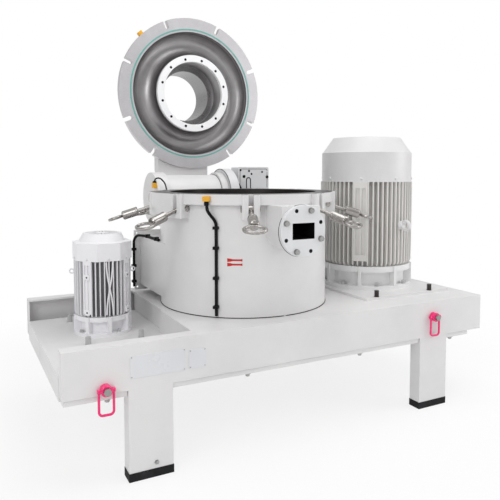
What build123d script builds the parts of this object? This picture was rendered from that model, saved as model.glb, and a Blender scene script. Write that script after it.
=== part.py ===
"""Air classifying mill: a vertical mill housing with a hinged lid, on a welded base frame with two motors.

Origin on the floor, in the middle of the four anchor holes of the feet. X runs along the frame,
Y from the front to the rear, Z up. Sizes are in millimetres.
"""

import os
from math import cos, pi, radians, sin, tan

from build123d import *

os.makedirs("parts", exist_ok=True)

# Clearances and small parts
washer_share = 0.62
running_gap = 0.3
flange_gap = 2.0

# Base frame
frame_length = 2400.0
frame_width = 1150.0
beam_height = 200.0
beam_flange = 75.0
beam_web = 9.0
beam_top = 605.0
leg_width = 200.0
leg_depth = 75.0
leg_inset = 373.0
leg_wall = 6.0
pad_height = 38.0
pad_overhang = 1.5
anchor_hole_radius = 11.0
deck_thickness = 12.0
recess_depth = 120.0
step_inset = 600.0
step_corner_y = -63.0
step_set_back = 12.0
cross_beam_width = 80.0
cover_depth = 25.0
cover_sheet = 3.0
cover_right_inset = 100.0
cover_bolt_spacing = 660.0
cover_bolt_inset = 170.0
cover_bolt_edge = 24.0
cover_bolt_across = 24.0
cover_bolt_head = 14.0

# Mill housing
housing_x = -90.0
shell_radius = 469.0
chamber_radius = 445.0
neck_radius = 414.0
body_flange_radius = 505.0
body_flange_thickness = 53.0
housing_top = 1224.0
floor_z = 640.0
floor_thickness = 20.0
skirt_wall = 14.0

# Swing bolt clamps
clamp_angles = [-145.0, -112.5, -67.5, -22.5, 22.5, 67.5, 112.5, 145.0]
pivot_radius = 484.0
pivot_drop = 74.0
rest_droop = 18.0
lug_radius = 527.0
lug_width = 88.0
lug_height = 124.0
lug_rounding = 10.0
side_lug_radius = 517.0
side_lug_half_angle = 20.0
clamp_slot = 26.0
rod_radius = 10.0
eye_radius = 20.0
eye_thickness = 25.2
pin_radius = 9.0
pin_overhang = 5.0
nut_start = 118.0
nut_length = 88.0
nut_radius = 25.0
nut_chamfer = 5.0
bow_width = 116.0
bow_length = 86.0
bow_bar = 15.0
bow_overlap = 3.0
bow_rounding = 5.0

# Feed port
port_face_y = -640.0
port_z = 1052.0
port_flange_radius = 125.0
port_flange_thickness = 22.0
port_pcd = 210.0
port_hole_radius = 9.0
port_width = 125.0
port_height = 78.0
port_chamfer = 2.0
port_bolt_across = 24.0
port_bolt_head = 10.0
first_feed_bolt = 22.5
boss_radius = 108.0

# Air inlet duct
duct_width = 230.0
duct_bottom = 650.0
duct_height = 295.0
duct_wall = 10.0
duct_end_y = 482.0
duct_flange_lip = 34.0
duct_flange_thickness = 18.0
duct_hole_radius = 7.0
duct_hole_spacing_x = 264.0
duct_hole_spacing_z = 329.0

# Lid, with w counted back from its sealing face
lid_radius = 505.0
lid_flange = 40.0
groove_depth = 98.0
hub_radius = 258.0
hub_bore_radius = 210.0
hub_height = 25.0
hub_hole_circle = 229.0
hub_hole_radius = 5.5
hub_hole_count = 12
hub_hole_start = 15.0
hub_hole_depth = 18.0
hub_edge = 2.0
neck_length = 140.0
neck_outer = 240.0
lid_wall = 24.0
lid_back_share = 1.4
slot_end_radius = 464.0
outlet_radius = 172.0
outlet_wall = 7.0
outlet_end = 358.0
outlet_flange_radius = 226.0
outlet_flange_thickness = 16.0
outlet_hole_circle = 203.0
outlet_hole_radius = 7.0
outlet_hole_count = 12
outlet_step = 6.0
seal_radius = 429.0
seal_width = 10.0

# Lid hinge
hinge_y = 700.0
hinge_drop = 62.0
hinge_pin_radius = 40.0
knuckle_radius = 148.0
ear_radius = 165.0
ear_thickness = 84.0
right_ear_thickness = 44.0
arm_left_x = -327.0
arm_width = 362.0
arm_plate = 38.0
arm_rib = 30.0
arm_rib_inset = 14.0
rib_start = 0.5
rib_full = 1.2
arm_plate_height = 275.0
arm_rib_height = 430.0
arm_rib_cover = 36.0
hinge_side_gap = 2.0
drum_radius = 140.0
drum_length = 70.0
gearbox_gap = 64.0
gearbox_width = 243.0
gearbox_front_y = 674.0
gearbox_depth = 116.0
gearbox_bottom = 1090.0
gearbox_top = 1366.0
gearbox_rounding = 12.0
drum_chamfer = 6.0
web_inner_y = 300.0
web_low_z = 982.0
web_reach = 0.7
web_high_z = 1030.0

# Grinding and classifying parts
liner_thickness = 20.0
liner_bottom = 945.0
liner_height = 115.0
liner_reach = 380.0
cartridge_radius = 120.0
cartridge_flange_radius = 190.0
cartridge_bottom = 575.0
cartridge_flange_thickness = 20.0
rotor_shaft_radius = 50.0
classifier_shaft_radius = 30.0
rotor_radius = 385.0
rotor_z = 950.0
rotor_thickness = 34.0
rotor_hub_radius = 95.0
hub_depth = 25.0
beater_count = 12
beater_height = 60.0
beater_width = 44.0
beater_depth = 60.0
wheel_radius = 235.0
wheel_bottom = 1068.0
wheel_height = 118.0
wheel_plate = 10.0
wheel_blades = 36
blade_depth = 30.0
blade_inset = 3.0
blade_thickness = 4.0
shaft_nut = 22.0
shaft_collar = 30.0
baffle_radius = 300.0
baffle_height = 105.0
baffle_wall = 6.0
baffle_top = 1180.0
baffle_arm = 8.0
baffle_arm_height = 30.0
baffle_arm_angles = (-60.0, 60.0, 180.0)

# Main motor
motor_inset = 400.0
motor_y = 5.0
motor_plate_width = 627.0
motor_plate_length = 814.0
motor_plate_thickness = 15.0
motor_core_radius = 238.0
motor_fin_radius = 285.0
motor_fins = 60
motor_fin_thickness = 8.0
motor_fins_bottom = 763.0
motor_fins_top = 1272.0
motor_cowl_shoulder = 1452.0
motor_cowl_top = 1546.0
motor_cowl_cap_radius = 212.0
motor_shield_radius = 244.0
motor_base_radius = 286.0
motor_base_thickness = 24.0
motor_shaft_radius = 40.0

# Classifier motor
small_motor_inset = 334.0
small_y = 129.0
small_core_radius = 122.0
small_fin_radius = 147.0
small_fins = 40
small_fin_thickness = 5.0
small_fins_bottom = 588.0
small_fins_top = 876.0
small_cowl_shoulder = 968.0
small_cowl_top = 1012.0
small_cowl_cap_radius = 99.0
small_shield_radius = 118.0
small_base_radius = 149.0
small_base_thickness = 18.0
small_shaft_radius = 19.0
cowl_wall = 4.0
motor_cowl_neck = 275.0
small_cowl_neck = 121.0
small_cowl_flat = 144.0
cowl_sides = 8
small_cowl_corner = 14.0
small_cowl_radius = 142.0
fin_root = 6.0
base_hole_inset = 12.0
base_hole_count = 4
base_hole_start = 22.5
base_hole_radius = 5.0
base_bolt_inset = 19.0
small_bolt_inset = 14.0
shield_rib_count = 8
shield_rib_start = 0.0
shield_rib = 18.0
fin_end_low = 0.4
fin_end_mid = 0.18
fin_end_high = 0.7
collar_share = 0.3
pad_start = 45.0
pad_width_share = 1.7
pad_slot_share = 0.5
pad_slot_shift_share = 0.38
pad_end_share = 0.8
air_slots = 24
air_slot_width = 7.0
air_slot_place = 0.62
air_slot_length = 0.6
box_reach = 0.75
box_lid = 12.0
box_rounding = 0.06
box_lid_margin = 0.04
box_lid_share = 0.92
fan_hub_share = 0.5
fan_blades = 6
fan_lift = 20.0
main_fan_height = 110.0
small_fan_height = 60.0
main_box_angle = 150.0
main_box_width = 220.0
main_box_bottom = 880.0
main_box_height = 260.0
small_box_angle = 150.0
small_box_width = 120.0
small_box_bottom = 650.0
small_box_height = 140.0
plate_screw_shift = -28.0
plate_screw_x = 202.0
plate_screw_y = 392.0
deck_stud_shift = 6.0
deck_stud_x = 134.0
deck_stud_shift_y = 18.0
deck_stud_y = 246.0
base_bolt_size = (26.0, 16.0)
small_bolt_size = (18.0, 10.0)
plate_screw_size = (24.0, 34.0)
deck_stud_size = (24.0, 38.0)

# Belt drives
main_belt_bottom = 490.0
main_belt_count = 4
belt_pitch = 19.0
belt_width = 15.0
belt_thickness = 11.0
motor_pulley_radius = 110.0
rotor_pulley_radius = 78.0
classifier_belt_bottom = 430.0
classifier_belt_count = 2
small_pulley_radius = 62.0
classifier_pulley_radius = 78.0
pulley_rim = 6.0
pulley_rim_share = 0.6
pulley_room = 20.0

# Lifting rings
lift_left_inset = 175.0
lift_left_z = 430.0
lift_right_inset = 382.0
lift_right_z = 520.0
lift_base_radius = 24.5
lift_head_share = 0.7
lift_base_edge = 4.0
lift_base_length = 34.0
lift_ring_width = 73.0
lift_ring_drop = 110.0
lift_ring_bend = 17.0
lift_eye_radius = 10.0
lift_eye_width = 12.0
lift_ring_bar = 11.0
lift_pin_radius = 5.0
lift_pin_y = 18.0
lift_head = 12.0

# Cables
cable_radius = 8.0
cable_angle = -43.0
sensor_angle = -47.0
sensor_bottom = 1190.0
sensor_depth = 26.0
sensor_width = 34.0
sensor_height = 24.0
sensor_rounding = 3.0
ear_sensor_place = (-118.8, -82.5)
front_cable_end = 12.0
front_cable_drop = 46.0
front_cable_slant = 59.0
duct_cable_end = 10.0
front_cable_bends = [55.0, 60.0]
duct_cable_bends = [65.0, 50.0]
duct_cable_start = 128.0
duct_cable_slant = 90.0
clip_wall = 5.0
clip_length = 14.0
front_clip_heights = (1050.0, 950.0, 800.0, 655.0)
duct_clip_places = (180.0, 340.0)
flange_clip_heights = (860.0, 760.0, 665.0)

# Sizes that follow from the ones above
half_length = frame_length / 2
half_width = frame_width / 2
leg_spacing = frame_length - 2 * leg_inset
step_x = step_inset - half_length
cover_right_x = half_length - cover_right_inset
cover_bolt_start_x = cover_bolt_inset - half_length
motor_x = half_length - motor_inset
small_x = small_motor_inset - half_length
lift_left = (lift_left_inset - half_length, lift_left_z)
lift_right = (half_length - lift_right_inset, lift_right_z)
beam_bottom = beam_top - beam_height
inner_half_width = half_width - beam_flange
deck_top = beam_top
recess_top = beam_top - recess_depth
foot_y = half_width - leg_depth / 2
pivot_z = housing_top - pivot_drop
lid_face_closed = housing_top + flange_gap
hinge_z = lid_face_closed - hinge_drop
lid_face_y = hinge_y + hinge_drop
lid_z = hinge_z + hinge_y
plate_top = deck_top + motor_plate_thickness
left_ear_x = arm_left_x - hinge_side_gap - ear_thickness
right_ear_x = arm_left_x + arm_width + hinge_side_gap
drum_x = right_ear_x + right_ear_thickness
gearbox_x = drum_x + drum_length + gearbox_gap
hinge_pin_left = left_ear_x - hinge_side_gap
hinge_pin_right = drum_x
lid_plane = Plane(origin=(housing_x, lid_face_y, lid_z), x_dir=(1, 0, 0), z_dir=(0, 1, 0))


def save(piece, label):
    """Name a finished piece and write it to its own file."""
    piece.part.label = label
    export_step(piece.part, f"parts/{label}.step")


def around(angle, radius, z):
    """Point at an angle round the housing axis, counted from the front towards the right."""
    turn = radians(angle)
    return (housing_x + radius * sin(turn), -radius * cos(turn), z)


def outward_plane(angle, radius, z, droop=0.0):
    """Upright plane whose X points outwards from the housing axis, tilted down by the droop angle."""
    turn = radians(angle)
    fall = radians(droop)
    outwards = (sin(turn) * cos(fall), -cos(turn) * cos(fall), -sin(fall))
    return Plane(origin=around(angle, radius, z), x_dir=outwards, z_dir=(-cos(turn), -sin(turn), 0))


def facing(centre, angle, z):
    """Level plane on an upright axis, its X at an angle from the front towards the right."""
    turn = radians(angle)
    return Plane(origin=(centre[0], centre[1], z), x_dir=(sin(turn), -cos(turn), 0), z_dir=(0, 0, 1))


def level_plane(angle, z):
    """Level plane on the housing axis whose X points outwards."""
    return facing((housing_x, 0), angle, z)


def hex_bolts(seat, places, across, head, washer=3.0):
    """Hexagon heads with a washer under each, standing on the seat plane at the given places."""
    with BuildPart() as bolts:
        with BuildSketch(seat):
            with Locations(*places):
                Circle(across * washer_share)
        extrude(amount=washer)
        with BuildSketch(seat.offset(washer)):
            with Locations(*places):
                RegularPolygon(radius=across / 2, side_count=6, major_radius=False)
        extrude(amount=head)
    return bolts


# Front and rear beam: rolled channels with their flat backs outwards
def channel(side):
    """Channel along X, its back on the outer face of the frame."""
    back = side * half_width
    edge = side * inner_half_width
    web = side * (half_width - beam_web)
    with BuildPart() as beam:
        with BuildSketch(Plane(origin=(-half_length, 0, 0), x_dir=(0, 1, 0), z_dir=(1, 0, 0))):
            with BuildLine():
                Polyline(
                    (back, beam_bottom),
                    (edge, beam_bottom),
                    (edge, beam_bottom + beam_web),
                    (web, beam_bottom + beam_web),
                    (web, beam_top - beam_web),
                    (edge, beam_top - beam_web),
                    (edge, beam_top),
                    (back, beam_top),
                    close=True,
                )
            make_face()
        extrude(amount=frame_length)
        inner_corners = beam.edges().filter_by(Axis.X).filter_by_position(Axis.Y, web - 0.1, web + 0.1)
        fillet(inner_corners, radius=beam_web)
    return beam


save(channel(-1), "front_beam")
save(channel(1), "rear_beam")

# Cross beams between the two channels: left end, both sides of the belt tunnel, middle and right end
tunnel_front = -160.0
tunnel_rear = 260.0
with BuildPart() as cross_beams:
    low_height = recess_top - deck_thickness - beam_bottom
    high_height = deck_top - deck_thickness - beam_bottom
    with BuildSketch(Plane.XY.offset(beam_bottom)):
        with Locations((-half_length + cross_beam_width / 2, 0)):
            Rectangle(cross_beam_width, 2 * inner_half_width)
        with Locations((step_x - cross_beam_width / 2, (tunnel_front - inner_half_width) / 2)):
            Rectangle(cross_beam_width, tunnel_front + inner_half_width)
        with Locations((step_x - cross_beam_width / 2, (tunnel_rear + inner_half_width) / 2)):
            Rectangle(cross_beam_width, inner_half_width - tunnel_rear)
    extrude(amount=low_height)
    with BuildSketch(Plane.XY.offset(beam_bottom)):
        with Locations((half_length - cross_beam_width / 2, 0)):
            Rectangle(cross_beam_width, 2 * inner_half_width)
    extrude(amount=high_height)
save(cross_beams, "cross_beams")

# Main deck at beam height, with the hole for the bearing cartridge and for the motor's pulley
with BuildPart() as main_deck:
    with BuildSketch(Plane.XY.offset(deck_top - deck_thickness)):
        with Locations(((step_x + half_length) / 2, 0)):
            Rectangle(half_length - step_x, 2 * inner_half_width)
        with Locations((housing_x, 0)):
            Circle(cartridge_radius + running_gap, mode=Mode.SUBTRACT)
        with Locations((motor_x, motor_y)):
            Circle(motor_pulley_radius + pulley_room, mode=Mode.SUBTRACT)
    extrude(amount=deck_thickness)
save(main_deck, "main_deck")

# Recessed deck under the classifier motor, with the wall of the step: flush in front, set back behind
with BuildPart() as recessed_deck:
    low_deck_end = step_x + step_set_back + deck_thickness
    with BuildSketch(Plane.XY.offset(recess_top - deck_thickness)):
        with Locations(((low_deck_end - half_length) / 2, 0)):
            Rectangle(low_deck_end + half_length, 2 * inner_half_width)
        with Locations((small_x, small_y)):
            Circle(small_pulley_radius + pulley_room, mode=Mode.SUBTRACT)
    extrude(amount=deck_thickness)
    with BuildSketch(Plane.XY.offset(recess_top)):
        with Locations((step_x - deck_thickness / 2, (step_corner_y - inner_half_width) / 2)):
            Rectangle(deck_thickness, step_corner_y + inner_half_width)
    extrude(amount=deck_top - recess_top)
    with BuildSketch(Plane.XY.offset(recess_top)):
        with Locations((low_deck_end - deck_thickness / 2, (step_corner_y + inner_half_width) / 2)):
            Rectangle(deck_thickness, inner_half_width - step_corner_y)
        with Locations(((low_deck_end + step_x - deck_thickness) / 2, step_corner_y)):
            Rectangle(low_deck_end - step_x + deck_thickness, deck_thickness)
    extrude(amount=deck_top - deck_thickness - recess_top)
save(recessed_deck, "recessed_deck")

# Legs: square-cut hollow sections with a sole plate that has the anchor hole
with BuildPart() as legs:
    with BuildSketch(Plane.XY.offset(pad_height)):
        with GridLocations(leg_spacing, 2 * foot_y, 2, 2):
            Rectangle(leg_width, leg_depth)
    extrude(amount=beam_bottom - pad_height)
    with BuildSketch(Plane.XY.offset(pad_height + deck_thickness)):
        with GridLocations(leg_spacing, 2 * foot_y, 2, 2):
            Rectangle(leg_width - 2 * leg_wall, leg_depth - 2 * leg_wall)
    extrude(amount=beam_bottom - pad_height - 2 * deck_thickness, mode=Mode.SUBTRACT)
    with BuildSketch(Plane.XY.offset(pad_height)):
        with GridLocations(leg_spacing, 2 * foot_y, 2, 2):
            Circle(anchor_hole_radius)
    extrude(amount=deck_thickness, mode=Mode.SUBTRACT)
save(legs, "legs")

# Rubber foot pads
with BuildPart() as foot_pads:
    with BuildSketch():
        with GridLocations(leg_spacing, 2 * foot_y, 2, 2):
            Rectangle(leg_width + 2 * pad_overhang, leg_depth + 2 * pad_overhang)
            Circle(anchor_hole_radius, mode=Mode.SUBTRACT)
    extrude(amount=pad_height)
    chamfer(foot_pads.faces().sort_by(Axis.Z)[0].outer_wire().edges(), length=pad_overhang)
save(foot_pads, "foot_pads")

# Bottom cover: a sheet tray that closes the belt space from below
cover_length = cover_right_x + half_length
cover_mid_x = (cover_right_x - half_length) / 2
with BuildPart() as bottom_cover:
    with BuildSketch(Plane.XY.offset(beam_bottom - cover_depth)):
        with Locations((cover_mid_x, 0)):
            Rectangle(cover_length, 2 * inner_half_width)
    extrude(amount=cover_depth)
    with BuildSketch(Plane.XY.offset(beam_bottom - cover_depth + cover_sheet)):
        with Locations((cover_mid_x, 0)):
            Rectangle(cover_length - 2 * cover_sheet, 2 * inner_half_width - 2 * cover_sheet)
    extrude(amount=cover_depth, mode=Mode.SUBTRACT)
save(bottom_cover, "bottom_cover")

# Hexagon bolts that hold the bottom cover, hanging under its edges
cover_bolt_y = inner_half_width - cover_bolt_edge
cover_bolt_places = [
    (cover_bolt_start_x + i * cover_bolt_spacing, side * cover_bolt_y) for i in range(4) for side in (-1, 1)
]
cover_seat = Plane(origin=(0, 0, beam_bottom - cover_depth), x_dir=(1, 0, 0), z_dir=(0, 0, -1))
save(hex_bolts(cover_seat, cover_bolt_places, cover_bolt_across, cover_bolt_head), "cover_bolts")

# Mill housing, welded from four parts: drum, clamp flange with its lugs, air duct and feed boss
droop = radians(rest_droop)
slot_floor = pivot_z - (lug_radius - pivot_radius) * tan(droop) - rod_radius / cos(droop)
slot_start = pivot_radius - eye_radius - running_gap
slot_length = 2 * lug_radius - slot_start
housing_axis = Axis((housing_x, 0, 0), (0, 0, 1))
housing_section = Plane(origin=(housing_x, 0, 0), x_dir=(1, 0, 0), z_dir=(0, -1, 0))
duct_left = housing_x - shell_radius
duct_mid_x = duct_left + duct_width / 2
duct_mid_z = duct_bottom + duct_height / 2
duct_bore_length = duct_end_y - duct_wall
duct_bore_height = duct_height - duct_wall - (floor_z + floor_thickness - duct_bottom)
duct_end = Plane(origin=(duct_mid_x, duct_end_y, duct_mid_z), x_dir=(1, 0, 0), z_dir=(0, -1, 0))
neck_bottom = housing_top - body_flange_thickness
lug_bottom = housing_top - lug_height
boss_top = neck_bottom - port_z
boss_length = -port_face_y - port_flange_thickness - neck_radius
port_seat_y = port_face_y + port_flange_thickness
port_plane = Plane(origin=(housing_x, port_seat_y, port_z), x_dir=(1, 0, 0), z_dir=(0, -1, 0))

# Solids that are cut away from more than one of the four parts
with BuildPart() as chamber_space:
    with BuildSketch(Plane.XY.offset(floor_z + floor_thickness)):
        with Locations((housing_x, 0)):
            Circle(chamber_radius)
    extrude(amount=neck_bottom - floor_z - floor_thickness)
with BuildPart() as drum_outline:
    with BuildSketch(Plane.XY.offset(deck_top)):
        with Locations((housing_x, 0)):
            Circle(shell_radius)
    extrude(amount=neck_bottom - deck_top)
with BuildPart() as duct_bore:
    with BuildSketch(Plane.XY.offset(floor_z + floor_thickness)):
        with Locations((duct_mid_x, duct_end_y - duct_bore_length / 2)):
            Rectangle(duct_width - 2 * duct_wall, duct_bore_length)
    extrude(amount=duct_bore_height)
with BuildPart() as boss_outline:
    with BuildSketch(port_plane):
        Circle(boss_radius)
        with Locations((0, boss_top / 2)):
            Rectangle(2 * boss_radius, boss_top)
    extrude(amount=-boss_length)
with BuildPart() as clamp_cuts:
    # Slots for the swing bolts and holes for their pins
    for angle in clamp_angles:
        with BuildSketch(level_plane(angle, slot_floor - running_gap)):
            with Locations((slot_start + slot_length / 2, 0)):
                Rectangle(slot_length, clamp_slot)
        extrude(amount=housing_top - slot_floor + 1)
        with BuildSketch(outward_plane(angle, pivot_radius, pivot_z)):
            Circle(pin_radius + running_gap)
        extrude(amount=lug_width, both=True)

# Drum: skirt, shaft hole and chamber wall, open to the duct and cut out for the feed boss
with BuildPart() as mill_housing:
    add(drum_outline.part)
    with BuildSketch(housing_section):
        with BuildLine():
            Polyline(
                (0, deck_top),
                (shell_radius - skirt_wall, deck_top),
                (shell_radius - skirt_wall, floor_z),
                (cartridge_radius + running_gap, floor_z),
                (cartridge_radius + running_gap, floor_z + floor_thickness),
                (0, floor_z + floor_thickness),
                close=True,
            )
        make_face()
    revolve(axis=housing_axis, mode=Mode.SUBTRACT)
    add(chamber_space.part, mode=Mode.SUBTRACT)
    add(duct_bore.part, mode=Mode.SUBTRACT)
    add(boss_outline.part, mode=Mode.SUBTRACT)
    add(clamp_cuts.part, mode=Mode.SUBTRACT)
save(mill_housing, "mill_housing")

# Clamp flange: ring on top of the drum with eight slotted lugs and the blocks that join the side ones
side_lug_angles = (-90.0, 90.0)
with BuildPart() as clamp_flange:
    with BuildSketch(Plane.XY.offset(neck_bottom)):
        with Locations((housing_x, 0)):
            Circle(body_flange_radius)
    extrude(amount=body_flange_thickness)
    for angle in clamp_angles:
        with BuildSketch(level_plane(angle, lug_bottom)):
            with Locations(((lug_radius + chamber_radius) / 2, 0)):
                RectangleRounded(lug_radius - chamber_radius, lug_width, lug_rounding)
        extrude(amount=lug_height)
    for angle in side_lug_angles:
        with BuildSketch(level_plane(angle, lug_bottom)):
            with BuildLine():
                arc = CenterArc((0, 0), side_lug_radius, -side_lug_half_angle, 2 * side_lug_half_angle)
                Line(arc @ 1, (0, 0))
                Line((0, 0), arc @ 0)
            make_face()
        extrude(amount=lug_height)
    with BuildSketch(Plane.XY.offset(neck_bottom)):
        with Locations((housing_x, 0)):
            Circle(neck_radius)
    extrude(amount=body_flange_thickness, mode=Mode.SUBTRACT)
    add(drum_outline.part, mode=Mode.SUBTRACT)
    add(boss_outline.part, mode=Mode.SUBTRACT)
    add(clamp_cuts.part, mode=Mode.SUBTRACT)
save(clamp_flange, "clamp_flange")

# Air duct: rectangular duct that meets the drum on a tangent, with its end flange
with BuildPart() as air_duct:
    with BuildSketch(Plane.XY.offset(duct_bottom)):
        with Locations((duct_mid_x, duct_end_y / 2)):
            Rectangle(duct_width, duct_end_y)
    extrude(amount=duct_height)
    with BuildSketch(duct_end):
        Rectangle(duct_width + 2 * duct_flange_lip, duct_height + 2 * duct_flange_lip)
    extrude(amount=duct_flange_thickness)
    add(drum_outline.part, mode=Mode.SUBTRACT)
    add(duct_bore.part, mode=Mode.SUBTRACT)
    with BuildSketch(duct_end):
        with GridLocations(duct_hole_spacing_x, duct_hole_spacing_z, 2, 2):
            Circle(duct_hole_radius)
    extrude(amount=duct_flange_thickness, mode=Mode.SUBTRACT)
save(air_duct, "air_duct")

# Feed boss: round below, square above, let into the drum
with BuildPart() as feed_boss:
    add(boss_outline.part)
    add(chamber_space.part, mode=Mode.SUBTRACT)
    with BuildSketch(port_plane):
        Rectangle(port_width, port_height)
    extrude(amount=-boss_length, mode=Mode.SUBTRACT)
save(feed_boss, "feed_boss")

# Swing bolts: eye, rod, long barrel nut and its oval pull bow, one for each lug
def pull_bow(seat, start):
    """Oval bow with rounded edges that lies flat, its inner end at the given distance along the rod."""
    flat = Plane(origin=seat.origin + seat.x_dir * start, x_dir=seat.x_dir, z_dir=seat.y_dir)
    with BuildPart() as bow:
        with BuildSketch(flat):
            with Locations((bow_length / 2 - bow_overlap, 0)):
                Ellipse(bow_length / 2, bow_width / 2)
                Ellipse(bow_length / 2 - bow_bar, bow_width / 2 - bow_bar, mode=Mode.SUBTRACT)
        extrude(amount=bow_bar / 2, both=True)
        fillet(bow.edges().filter_by(GeomType.ELLIPSE), radius=bow_rounding)
    return bow.part


def swing_bolt(angle):
    """Swing bolt that hangs outwards from its pin at one angle round the housing."""
    seat = outward_plane(angle, pivot_radius, pivot_z, rest_droop)
    across = Plane(origin=seat.origin, x_dir=seat.y_dir, z_dir=seat.x_dir)
    with BuildPart() as bolt:
        with BuildSketch(seat):
            Circle(eye_radius)
        extrude(amount=eye_thickness / 2, both=True)
        with BuildSketch(across):
            Circle(rod_radius)
        extrude(amount=nut_start)
        with BuildSketch(seat):
            Circle(pin_radius + running_gap)
        extrude(amount=eye_thickness, both=True, mode=Mode.SUBTRACT)
        with BuildSketch(across.offset(nut_start)):
            Circle(nut_radius)
        extrude(amount=nut_length)
        outer_end = bolt.faces().sort_by(Axis(seat.origin, seat.x_dir))[-1]
        chamfer(outer_end.edges(), length=nut_chamfer)
        add(pull_bow(seat, nut_start + nut_length))
    return bolt


for index, angle in enumerate(clamp_angles):
    save(swing_bolt(angle), f"swing_bolt_{index + 1}")

# Pivot pins of the swing bolts, and the hinge pin of the lid
with BuildPart() as pivot_pins:
    for angle in clamp_angles:
        with BuildSketch(outward_plane(angle, pivot_radius, pivot_z)):
            Circle(pin_radius)
        extrude(amount=lug_width / 2 + pin_overhang, both=True)
    with BuildSketch(Plane(origin=(hinge_pin_left, hinge_y, hinge_z), x_dir=(0, 1, 0), z_dir=(1, 0, 0))):
        Circle(hinge_pin_radius)
    extrude(amount=hinge_pin_right - hinge_pin_left)
save(pivot_pins, "pivot_pins")

# Feed flange: ring flange on the feed boss, bolted on at four places and open at the four between them
feed_face = Plane(origin=(housing_x, port_face_y, port_z), x_dir=(1, 0, 0), z_dir=(0, -1, 0))
bolt_angles = [90 - first_feed_bolt - i * 90 for i in range(4)]
open_angles = [angle + 45 for angle in bolt_angles]
with BuildPart() as feed_flange:
    with BuildSketch(feed_face):
        Circle(port_flange_radius)
        Rectangle(port_width, port_height, mode=Mode.SUBTRACT)
        with PolarLocations(port_pcd / 2, 4, start_angle=open_angles[0]):
            Circle(port_hole_radius, mode=Mode.SUBTRACT)
    extrude(amount=-port_flange_thickness)
    chamfer(feed_flange.faces().sort_by(Axis.Y)[0].outer_wire().edges(), length=port_chamfer)
save(feed_flange, "feed_flange")


def on_circle(radius, angles):
    """Places on a circle in a plane, at angles counted from its X towards its Y."""
    return [(radius * cos(radians(angle)), radius * sin(radians(angle))) for angle in angles]


feed_bolt_places = on_circle(port_pcd / 2, bolt_angles)
save(hex_bolts(feed_face, feed_bolt_places, port_bolt_across, port_bolt_head), "feed_bolts")

# Hinge brackets: two ears on webs that reach back from the housing
def ear(left, thickness):
    """Round ear with its web and pin hole, between two X values."""
    side = Plane(origin=(left, 0, 0), x_dir=(0, 1, 0), z_dir=(1, 0, 0))
    with BuildPart() as bracket:
        with BuildSketch(side):
            with Locations((hinge_y, hinge_z)):
                Circle(ear_radius)
            with BuildLine():
                Polyline(
                    (web_inner_y, web_low_z),
                    (web_inner_y, web_high_z),
                    (hinge_y - ear_radius, web_high_z),
                    (hinge_y, hinge_z),
                    (hinge_y + ear_radius * web_reach, hinge_z - ear_radius * web_reach),
                    (hinge_y, hinge_z - ear_radius),
                    close=True,
                )
            make_face()
            with Locations((hinge_y, hinge_z)):
                Circle(hinge_pin_radius + running_gap, mode=Mode.SUBTRACT)
        extrude(amount=thickness)
        with BuildSketch(Plane.XY.offset(web_low_z)):
            with Locations((housing_x, 0)):
                Circle(shell_radius)
        extrude(amount=web_high_z - web_low_z, mode=Mode.SUBTRACT)
    return bracket


with BuildPart() as hinge_brackets:
    add(ear(left_ear_x, ear_thickness).part)
    add(ear(right_ear_x, right_ear_thickness).part)
save(hinge_brackets, "hinge_brackets")

# Hinge drive: drum on the hinge axis, output shaft and gearbox
hinge_line = Plane(origin=(drum_x, hinge_y, hinge_z), x_dir=(0, 1, 0), z_dir=(1, 0, 0))
gearbox_height = gearbox_top - gearbox_bottom
with BuildPart() as hinge_drive:
    with BuildSketch(hinge_line):
        Circle(drum_radius)
    extrude(amount=drum_length)
    chamfer(hinge_drive.faces().sort_by(Axis.X)[-1].edges(), length=drum_chamfer)
    with BuildSketch(hinge_line):
        Circle(hinge_pin_radius)
    extrude(amount=drum_length + gearbox_gap)
    with BuildSketch(Plane.XY.offset(gearbox_bottom)):
        with Locations((gearbox_x + gearbox_width / 2, gearbox_front_y + gearbox_depth / 2)):
            Rectangle(gearbox_width, gearbox_depth)
    extrude(amount=gearbox_height)
    upright = hinge_drive.edges().filter_by(Axis.Y).group_by(Axis.Z)[-1]
    fillet(upright, radius=gearbox_rounding)
save(hinge_drive, "hinge_drive")

# Lid: cast ring with a smooth round groove on its sealing face and a neck for the outlet
lid_section = Plane(origin=lid_plane.origin, x_dir=(1, 0, 0), z_dir=(0, 0, 1))
lid_axis = Axis(lid_plane.origin, (0, 1, 0))
groove_mid = (hub_radius + neck_radius) / 2
back_edge = neck_radius + lid_wall * lid_back_share


def lid_back(grow):
    """Half section of the lid without its groove and bore, its outside moved out by a given amount."""
    rim = lid_radius + grow
    rim_back = lid_flange + grow
    with BuildSketch(lid_section) as outline:
        with BuildLine():
            Polyline((0, 0), (rim, 0), (rim, rim_back), (back_edge, rim_back))
            ThreePointArc(
                (back_edge, rim_back),
                (groove_mid + lid_wall / 2, groove_depth + lid_wall + grow),
                (hub_radius - lid_wall / 2, groove_depth + lid_wall / 2 + grow),
            )
            Polyline(
                (hub_radius - lid_wall / 2, groove_depth + lid_wall / 2 + grow),
                (neck_outer + grow, neck_length),
                (0, neck_length),
                (0, 0),
            )
        make_face()
    return outline


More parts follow.
